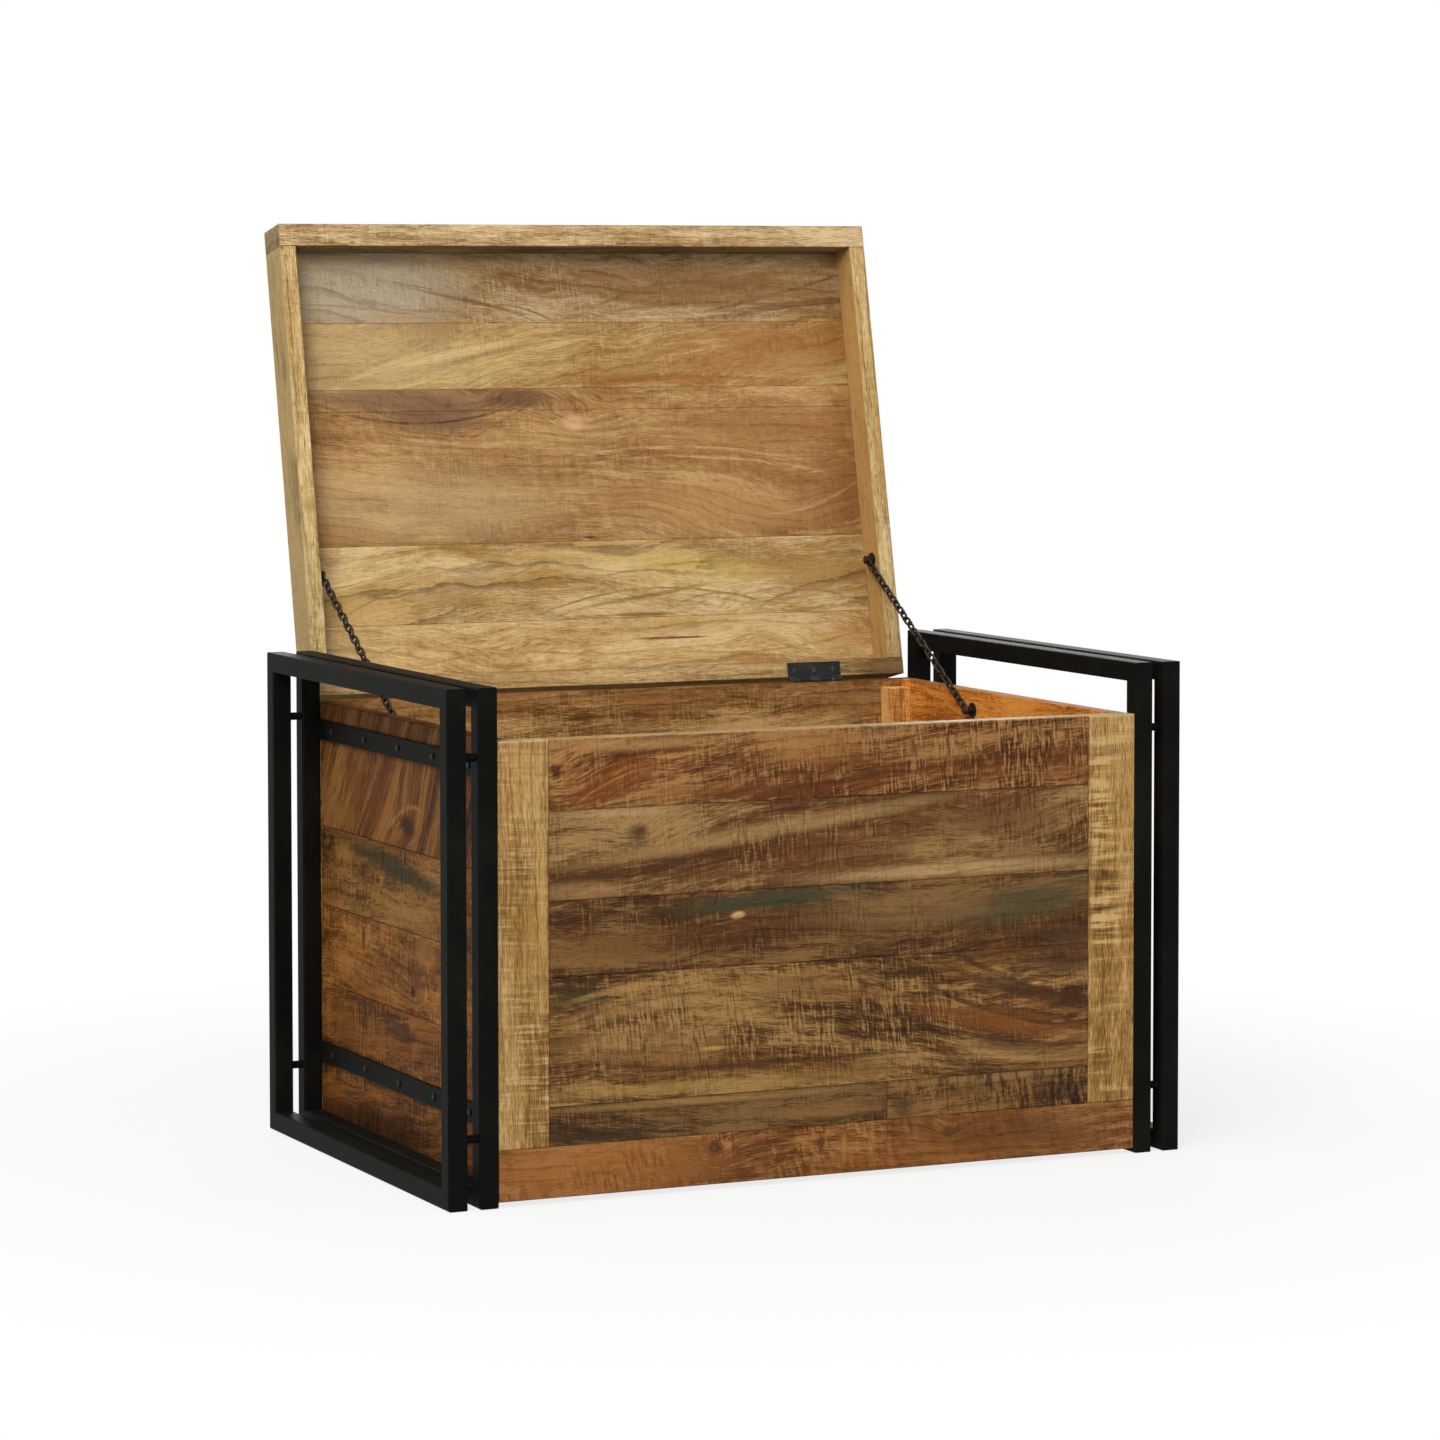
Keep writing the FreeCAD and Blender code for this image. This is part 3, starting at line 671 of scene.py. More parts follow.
    def saw_marks(self, tree: ShaderTree, along: Socket, across: Socket, zones: Socket,
                  streaks: Socket) -> tuple[Socket, Socket]:
        """Draw the marks that a saw left across the grain.

        Args:
            tree: the board's node tree.
            along: distance along the board.
            across: distance across the board.
            zones: the broad zones, which the marks follow where the board has no saw patches.
            streaks: the streaks, which break the marks up.

        Returns:
            The cover of the dark marks and of the bright ones.
        """
        beat = (along + across * self.saw_tilt) / self.saw_pitch
        place = tree.vector(beat, across / self.saw_reach + self.seed, 0.0)
        fine = tree.noise(place, FIGURE.saw_detail, FIGURE.saw_rough)
        place = tree.vector(beat * FIGURE.saw_group_rate, across * FIGURE.saw_group_across, self.seed)
        group = tree.noise(place, FIGURE.saw_group_detail, FIGURE.saw_group_rough)
        dark = fine.ease(*FIGURE.saw_dark) * group.ease(*FIGURE.saw_dark_group)
        bright = fine.ease(*FIGURE.saw_bright) * group.ease(*FIGURE.saw_bright_group)
        covers = [patch.mask(along, across, zones.swing()) for patch in self.saw_patches]
        cover = covers[0] if covers else zones.ease(*FIGURE.saw_zones)
        for more in covers[1:]:
            cover = cover.most(more)
        cover = cover.lifted(*FIGURE.saw_cover) * streaks.lifted(*FIGURE.saw_breaks)
        return dark * cover, bright * cover

    def feather(self, tree: ShaderTree, along: Socket, across: Socket, hue: Socket) -> Socket:
        """Draw the curly figure, which stands across the grain.

        Args:
            tree: the board's node tree.
            along: distance along the board.
            across: distance across the board.
            hue: the slow change of colour, which the curls follow.

        Returns:
            Light and dark about 0.
        """
        run = along * FIGURE.curl_along + across * FIGURE.curl_lean
        place = tree.vector(run, across * FIGURE.curl_across, self.seed)
        curls = tree.noise(place, FIGURE.curl_detail, FIGURE.curl_rough)
        return curls.swing() * hue.ease(*FIGURE.curl_hue)

    def edge_shade(self, lie: Lie, along: Socket, across: Socket) -> Socket:
        """Darken the board's joints.

        Args:
            lie: how the board lies.
            along: distance along the board.
            across: distance across the board.

        Returns:
            The light that is left, 1 away from the joints.
        """
        ends = (along - lie.length[0]).least(lie.length[1] - along)
        sides = (across - lie.width[0]).least(lie.width[1] - across)
        return ends.least(sides).ease(0.0, FIGURE.seam_width).lifted(1 - self.seam, self.seam)


@dataclass(frozen=True)
class Grit:
    """Noise that is the same every way, at a rate in waves per metre."""

    rate: float
    detail: float
    rough: float = 0.5

    def draw(self, tree: ShaderTree) -> Socket:
        """Return the noise on a piece."""
        return tree.noise(tree.place(), self.detail, self.rough, self.rate)


@dataclass(frozen=True)
class BlackPaint:
    """Satin black paint on steel, with a faint orange peel and a little dust."""

    base: Tone = Tone(15, 15, 13)
    dusty: Tone = Tone(25, 25, 21)
    rough: float = 0.46
    shine: float = 0.02
    peel: Grit = Grit(650.0, 1.0)
    film: Grit = Grit(11.0, 4.0, 0.6)
    rub: Grit = Grit(70.0, 3.0, 0.7)
    film_limits: Point = (0.4, 0.75)
    rub_limits: Point = (0.6, 0.8)
    film_dust: float = 0.7
    rub_dust: float = 0.3
    film_rough: float = 0.18
    rub_rough: float = 0.1
    peel_height: float = 0.6
    rub_height: float = 0.4
    bump_strength: float = 0.12
    bump_depth: float = 0.0003

    def material(self, name: str) -> bpy.types.Material:
        """Build the paint.

        Args:
            name: the material's name.

        Returns:
            The material.
        """
        tree = ShaderTree.named(name)
        peel, film, rub = [grit.draw(tree) for grit in (self.peel, self.film, self.rub)]
        rubbed = rub.ease(*self.rub_limits)
        dust = film.ease(*self.film_limits) * self.film_dust + rubbed * self.rub_dust
        height = peel * self.peel_height + rub * self.rub_height
        inputs = {
            "Base Color": tree.mix(dust, self.base, self.dusty),
            "Roughness": self.rough + film.swing() * self.film_rough + rubbed * self.rub_rough,
            "Specular IOR Level": self.shine,
            "Normal": tree.bump(height, self.bump_strength, self.bump_depth),
        }
        return tree.close(tree.node("ShaderNodeBsdfPrincipled", {}, inputs))


@dataclass(frozen=True)
class BlackenedIron:
    """Blackened iron that is rubbed bright in places."""

    base: Tone = Tone(30, 27, 24)
    brown: Tone = Tone(58, 44, 32)
    bright: Tone = Tone(150, 146, 140)
    wear: float = 0.25
    rough: float = 0.42
    shine: float = 0.25
    fine: Grit = Grit(420.0, 3.0, 0.65)
    broad: Grit = Grit(85.0, 2.0)
    fine_wear: float = 0.6
    broad_wear: float = 0.4
    wear_limits: Point = (0.56, 0.72)
    brown_limits: Point = (0.45, 0.7)
    brown_share: float = 0.6
    fine_rough: float = 0.3
    worn_smooth: float = 0.2
    metal: Point = (0.25, 0.75)
    bump_strength: float = 0.25
    bump_depth: float = 0.0003

    def material(self, name: str) -> bpy.types.Material:
        """Build the iron.

        Args:
            name: the material's name.

        Returns:
            The material.
        """
        tree = ShaderTree.named(name)
        fine, broad = self.fine.draw(tree), self.broad.draw(tree)
        worn = (fine * self.fine_wear + broad * self.broad_wear).ease(*self.wear_limits) * self.wear
        colour = tree.mix(broad.ease(*self.brown_limits) * self.brown_share, self.base, self.brown)
        inputs = {
            "Base Color": tree.mix(worn, colour, self.bright),
            "Roughness": self.rough + fine.swing() * self.fine_rough - worn * self.worn_smooth,
            "Metallic": worn.lifted(*self.metal),
            "Specular IOR Level": self.shine,
            "Normal": tree.bump(fine, self.bump_strength, self.bump_depth),
        }
        return tree.close(tree.node("ShaderNodeBsdfPrincipled", {}, inputs))


def paint(piece: bpy.types.Object, material: bpy.types.Material) -> None:
    """Give every material slot of a piece the same material.

    Args:
        piece: the piece to dress.
        material: its finish.
    """
    if not piece.material_slots:
        piece.data.materials.append(material)
    for slot in piece.material_slots:
        slot.material = material
    LOG.info("%s dressed in %s", piece.name, material.name)


def add_object(name: str, data: Any) -> bpy.types.Object:
    """Put a new object into the scene.

    Args:
        name: the object's name.
        data: its mesh, lamp or camera.

    Returns:
        The object.
    """
    made = bpy.data.objects.new(name, data)
    bpy.context.scene.collection.objects.link(made)
    return made


@dataclass
class SideFrames:
    """The doubled square-tube frames, their standoffs, flat bars and screws."""

    finish: BlackPaint = BlackPaint()
    screw_finish: BlackPaint = BlackPaint(Tone(16, 16, 15), Tone(32, 31, 28), rough=0.4, shine=0.12)

    def dress(self) -> None:
        """Paint the tubes, bars and standoffs, and the screw heads a little glossier."""
        steel = self.finish.material("satin_black_paint")
        heads = self.screw_finish.material("black_screw_heads")
        for name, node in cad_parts.items():
            if name.endswith(("_rail", "_post")) and name.startswith(("left_", "right_")):
                paint(node, steel)
            elif name.endswith("_bar") or name == "frame_standoffs":
                paint(node, steel)
            elif name == "bar_screws":
                paint(node, heads)


@dataclass
class Ironwork:
    """The butt hinges, their screws, and the two stay chains with their flanged screws."""

    plate: BlackenedIron = BlackenedIron(Tone(17, 17, 17), Tone(30, 27, 24), wear=0.1, rough=0.45)
    # The pins, box leaves and hinge screws are rubbed bright in places, and this lighter rubbing is also a
    # painted highlight along the hinge knuckles.
    pin: BlackenedIron = BlackenedIron(wear=0.75, rough=0.3)
    chain: BlackenedIron = BlackenedIron(Tone(34, 28, 21), Tone(66, 48, 30), wear=0.22, rough=0.4)

    def dress(self) -> None:
        """Give the hinge plates, their pins and the chains their iron."""
        plate = self.plate.material("hinge_iron")
        pin = self.pin.material("rubbed_pin_iron_and_painted_highlight")
        chain = self.chain.material("chain_iron")
        for name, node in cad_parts.items():
            if "chain" in name:
                paint(node, chain)
            elif name.endswith(("_pin", "_box_leaf")) or name.startswith("hinge_screws"):
                paint(node, pin)
            elif "hinge" in name:
                paint(node, plate)


@dataclass
class WoodenBox:
    """The plank-built box: its framed front, its sides, back, bottom and inside posts."""

    seam_heights: tuple[float, ...] = (0.005, 0.155, 0.237, 0.319, 0.448)
    edge_ease: float = 0.0007
    ease_steps: int = 2
    ease_profile: float = 0.5
    sharp_angle: float = 1.0
    edge_wander: float = 0.00025
    wander_rate: float = 40.0
    length_steps: int = 16

    def build(self) -> None:
        """Dress the front boards and build the side and back planks one by one."""
        self.dress_front()
        self.build_side(Side.LEFT, LEFT_SIDE)
        self.build_side(Side.RIGHT, RIGHT_SIDE)
        self.build_back()
        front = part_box("corner_posts")[0].y
        lie = Lie((0, front, 0), *Way.FRONT_UPRIGHT.value)
        paint(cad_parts["corner_posts"], POST_WOOD.material("post_wood", lie))
        low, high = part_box("bottom_panel")
        lie = Lie((0, 0, high.z), *Way.FLOOR.value, (low.x, high.x), (low.y, high.y))
        paint(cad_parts["bottom_panel"], BOTTOM_WOOD.material("bottom_wood", lie))

    def dress_front(self) -> None:
        """Give each front board its own timber."""
        for name, (way, timber) in FRONT_BOARDS.items():
            low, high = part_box(name)
            level, upright = (low.x, high.x), (low.z, high.z)
            spans = (level, upright) if way is Way.FRONT_LEVEL else (upright, level)
            lie = Lie((0, low.y, 0), *way.value, *spans)
            paint(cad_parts[name], timber.material(f"{name}_wood", lie))

    def build_side(self, side: Side, timbers: tuple[Timber, ...]) -> None:
        """Build one side's level planks in place of the side's node.

        Args:
            side: which side it is.
            timbers: the planks' timbers, from the floor up.
        """
        node = f"{side.value}_side_planks"
        low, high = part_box(node)
        face = low.x if side is Side.LEFT else high.x
        for i, timber in enumerate(timbers):
            start = Vector((low.x, low.y, self.seam_heights[i]))
            end = Vector((high.x, high.y, self.seam_heights[i + 1]))
            piece = self.plank(f"{side.value}_side_plank_{i + 1}", start, end, Axis.DEPTH)
            lie = Lie((face, 0, 0), *Way.SIDE_LEVEL.value, (start.y, end.y), (start.z, end.z))
            self.hang(piece, timber, lie, node, "side_wood")

    def build_back(self) -> None:
        """Build the back's level planks in place of the back's node."""
        low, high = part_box("back_planks")
        step = (high.z - low.z) / len(BACK_BOARDS)
        for i, timber in enumerate(BACK_BOARDS):
            start = Vector((low.x, low.y, low.z + step * i))
            end = Vector((high.x, high.y, low.z + step * (i + 1)))
            piece = self.plank(f"back_plank_{i + 1}", start, end, Axis.WIDTH)
            lie = Lie((0, low.y, 0), *Way.FRONT_LEVEL.value, (start.x, end.x), (start.z, end.z))
            self.hang(piece, timber, lie, "back_planks", "inside_wood")

    @staticmethod
    def hang(piece: bpy.types.Object, timber: Timber, lie: Lie, node: str, slot: str) -> None:
        """Dress a plank, hang it on the box and let it stand for its node.

        Args:
            piece: the plank.
            timber: its wood.
            lie: how it lies.
            node: the node that it stands for.
            slot: not used.
        """
        paint(piece, timber.material(f"{piece.name}_wood", lie))
        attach(piece, "box")
        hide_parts(node)

    def plank(self, name: str, low: Vector, high: Vector, grain: Axis) -> bpy.types.Object:
        """Build a plank whose long edges wander a little inwards and are eased.

        Args:
            name: the plank's name.
            low: its lowest corner.
            high: its highest corner.
            grain: the axis that it runs along.

        Returns:
            The plank.
        """
        mesh = bmesh.new()
        bmesh.ops.create_cube(mesh, size=1.0)
        middle, spread = (low + high) / 2, high - low
        for vert in mesh.verts:
            vert.co = middle + Vector(c * s for c, s in zip(vert.co, spread))
        axis = grain.value
        normal = Vector((0, 0, 0))
        normal[axis] = 1
        for step in range(1, self.length_steps):
            cut = middle.copy()
            cut[axis] = low[axis] + spread[axis] * step / self.length_steps
            parts = mesh.verts[:] + mesh.edges[:] + mesh.faces[:]
            bmesh.ops.bisect_plane(mesh, geom=parts, plane_co=cut, plane_no=normal)
        for vert in mesh.verts:
            inwards = 1 if vert.co.z < middle.z else -1
            vert.co.z += inwards * self.edge_wander * (1 + noise.noise(vert.co * self.wander_rate)) / 2
        sharp = [edge for edge in mesh.edges if edge.calc_face_angle(0) > self.sharp_angle]
        bmesh.ops.bevel(mesh, geom=sharp, offset=self.edge_ease, segments=self.ease_steps,
                        profile=self.ease_profile, affect="EDGES")
        data = bpy.data.meshes.new(name)
        mesh.to_mesh(data)
        mesh.free()
        return add_object(name, data)


@dataclass
class Lid:
    """The framed lid, which stands open at rest, leaning back on its chains."""

    pin_back: float = 0.1802988
    pin_height: float = 0.4483
    open_degrees: float = 102.0
    panel_face: float = 0.0353
    rim_face: float = 0.0003

    def lie(self, face: float, upright: bool, length: Point, width: Point) -> Lie:
        """Return how a board of the lid lies.

        Args:
            face: how far its inner face is from the hinge pins' plane.
            upright: whether its grain runs away from the hinges.
            length: where it starts and ends along its grain.
            width: where it starts and ends across its grain.

        Returns:
            The lie, measured from the hinge pins.
        """
        turn = Matrix.Rotation(math.radians(-self.open_degrees), 3, "X")
        away, out = turn @ Vector((0, -1, 0)), turn @ Vector((0, 0, 1))
        origin = Vector((0, self.pin_back, self.pin_height)) + out * face
        level = (1.0, 0.0, 0.0)
        axes = (tuple(away), level) if upright else (level, tuple(away))
        return Lie(tuple(origin), *axes, tuple(out), length, width)

    def reach(self, name: str) -> tuple[Point, Point]:
        """Measure a board of the lid.

        Args:
            name: the board's node.

        Returns:
            Its extent from left to right, and its extent away from the hinges.
        """
        spot = self.lie(0.0, False, (0, 0), (0, 0))
        points = [v.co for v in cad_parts[name].data.vertices]
        away = [(p - Vector(spot.origin)).dot(Vector(spot.across)) for p in points]
        level = [p.x for p in points]
        return (min(level), max(level)), (min(away), max(away))

    def dress(self) -> None:
        """Give each board of the lid its own timber."""
        for name, timber in LID_BOARDS.items():
            level, away = self.reach(name)
            upright = name.endswith("_stile")
            face = self.panel_face if "plank" in name else self.rim_face
            spans = (away, level) if upright else (level, away)
            paint(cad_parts[name], timber.material(f"{name}_wood", self.lie(face, upright, *spans)))


@dataclass(frozen=True)
class Softbox:
    """A square lamp that faces the middle of the chest; its side is in metres, its power in watts."""

    name: str
    place: Point3
    side: float
    power: float
    aim: ClassVar[Point3] = (0.0, 0.0, 0.45)

    def build(self) -> None:
        """Make the lamp and turn it to the chest."""
        data = bpy.data.lights.new(self.name, "AREA")
        data.size = self.side
        data.energy = self.power
        lamp = add_object(self.name, data)
        lamp.location = self.place
        facing = Vector(self.aim) - Vector(self.place)
        lamp.rotation_euler = facing.to_track_quat("-Z", "Y").to_euler()


@dataclass
class Studio:
    """The pale floor, the white surround, the soft lamps and the camera."""

    camera_place: Point3 = (-2.08246, -4.59489, 0.88541)
    heading_degrees: float = 24.7728
    pitch_degrees: float = 3.1386
    roll_degrees: float = -0.0538
    lens: float = 121.257
    sensor: float = 36.0
    shift: Point = (0.0, -0.12)
    floor_tone: Tone = Tone(200, 200, 198)
    floor_half: float = 14.0
    floor_drop: float = 0.0005
    floor_lift: float = 0.8
    floor_fade: Point = (0.55, 1.3)
    ambient: float = 0.32
    lamps: tuple[Softbox, ...] = (
        Softbox("key_softbox", (-3.1, -3.5, 3.8), 2.2, 240.0),
        Softbox("fill_softbox", (3.2, -3.4, 2.2), 2.4, 45.0),
        Softbox("top_softbox", (-1.2, -0.6, 4.0), 2.0, 80.0),
        Softbox("back_softbox", (1.8, 4.2, 2.4), 2.4, 70.0),
    )

    def build(self) -> None:
        """Make the floor, surround, lamps and camera."""
        bpy.context.scene.view_settings.view_transform = "Standard"
        self.make_floor()
        self.make_surround()
        for lamp in self.lamps:
            lamp.build()
        self.make_camera()

    def make_floor(self) -> None:
        """Make a pale floor that looks white to the camera and keeps the shadow."""
        data = bpy.data.meshes.new("studio_floor")
        half = self.floor_half
        corners = [(-half, -half, 0), (half, -half, 0), (half, half, 0), (-half, half, 0)]
        data.from_pydata(corners, [], [(0, 1, 2, 3)])
        floor = add_object("studio_floor", data)
        floor.location.z = -self.floor_drop
        tree = ShaderTree.named("pale_floor")
        far = tree.node("ShaderNodeVectorMath", {"operation": "LENGTH"}, {0: tree.place()}, "Value")
        lift = far.ease(*self.floor_fade).lifted(self.floor_lift, 1 - self.floor_lift)
        seen = tree.background_share() * lift
        pale = tree.node("ShaderNodeBsdfDiffuse", {}, {"Color": self.floor_tone.linear()})
        white = tree.node("ShaderNodeEmission", {}, {"Color": WHITE, "Strength": 1.0})
        shader = tree.node("ShaderNodeMixShader", {}, {0: seen, 1: pale, 2: white})
        data.materials.append(tree.close(shader))

    def make_surround(self) -> None:
        """Make a white surround that lights the piece at a plain level."""
        world = bpy.data.worlds.new("white_surround")
        bpy.context.scene.world = world
        tree = ShaderTree(world)
        strength = tree.background_share().lifted(self.ambient, 1 - self.ambient)
        light = tree.node("ShaderNodeBackground", {}, {"Color": WHITE, "Strength": strength})
        tree.close(light, Ending.SURROUND)

    def make_camera(self) -> None:
        """Make the camera at the photograph's viewing angle."""
        data = bpy.data.cameras.new("studio_camera")
        data.lens = self.lens
        data.sensor_width = self.sensor
        data.shift_x, data.shift_y = self.shift
        camera = add_object("studio_camera", data)
        turn = Matrix.Rotation(math.radians(-self.heading_degrees), 4, "Z")
        tip = Matrix.Rotation(math.radians(90 - self.pitch_degrees), 4, "X")
        roll = Matrix.Rotation(math.radians(self.roll_degrees), 4, "Z")
        camera.matrix_world = Matrix.Translation(self.camera_place) @ turn @ tip @ roll
        bpy.context.scene.camera = camera


OLIVE = Tone(60, 57, 38)

LEFT_GRAIN: dict[str, float] = {"zone": 0.95, "streak": 0.85, "shine": 0.02}
RIM_GRAIN: dict[str, float] = {"wander": 0.015, "zone": 0.7, "streak": 0.7, "saw": 0.12}
PANEL_GRAIN: dict[str, float] = {"zone": 0.8, "streak": 0.55, "fibre": 0.75}

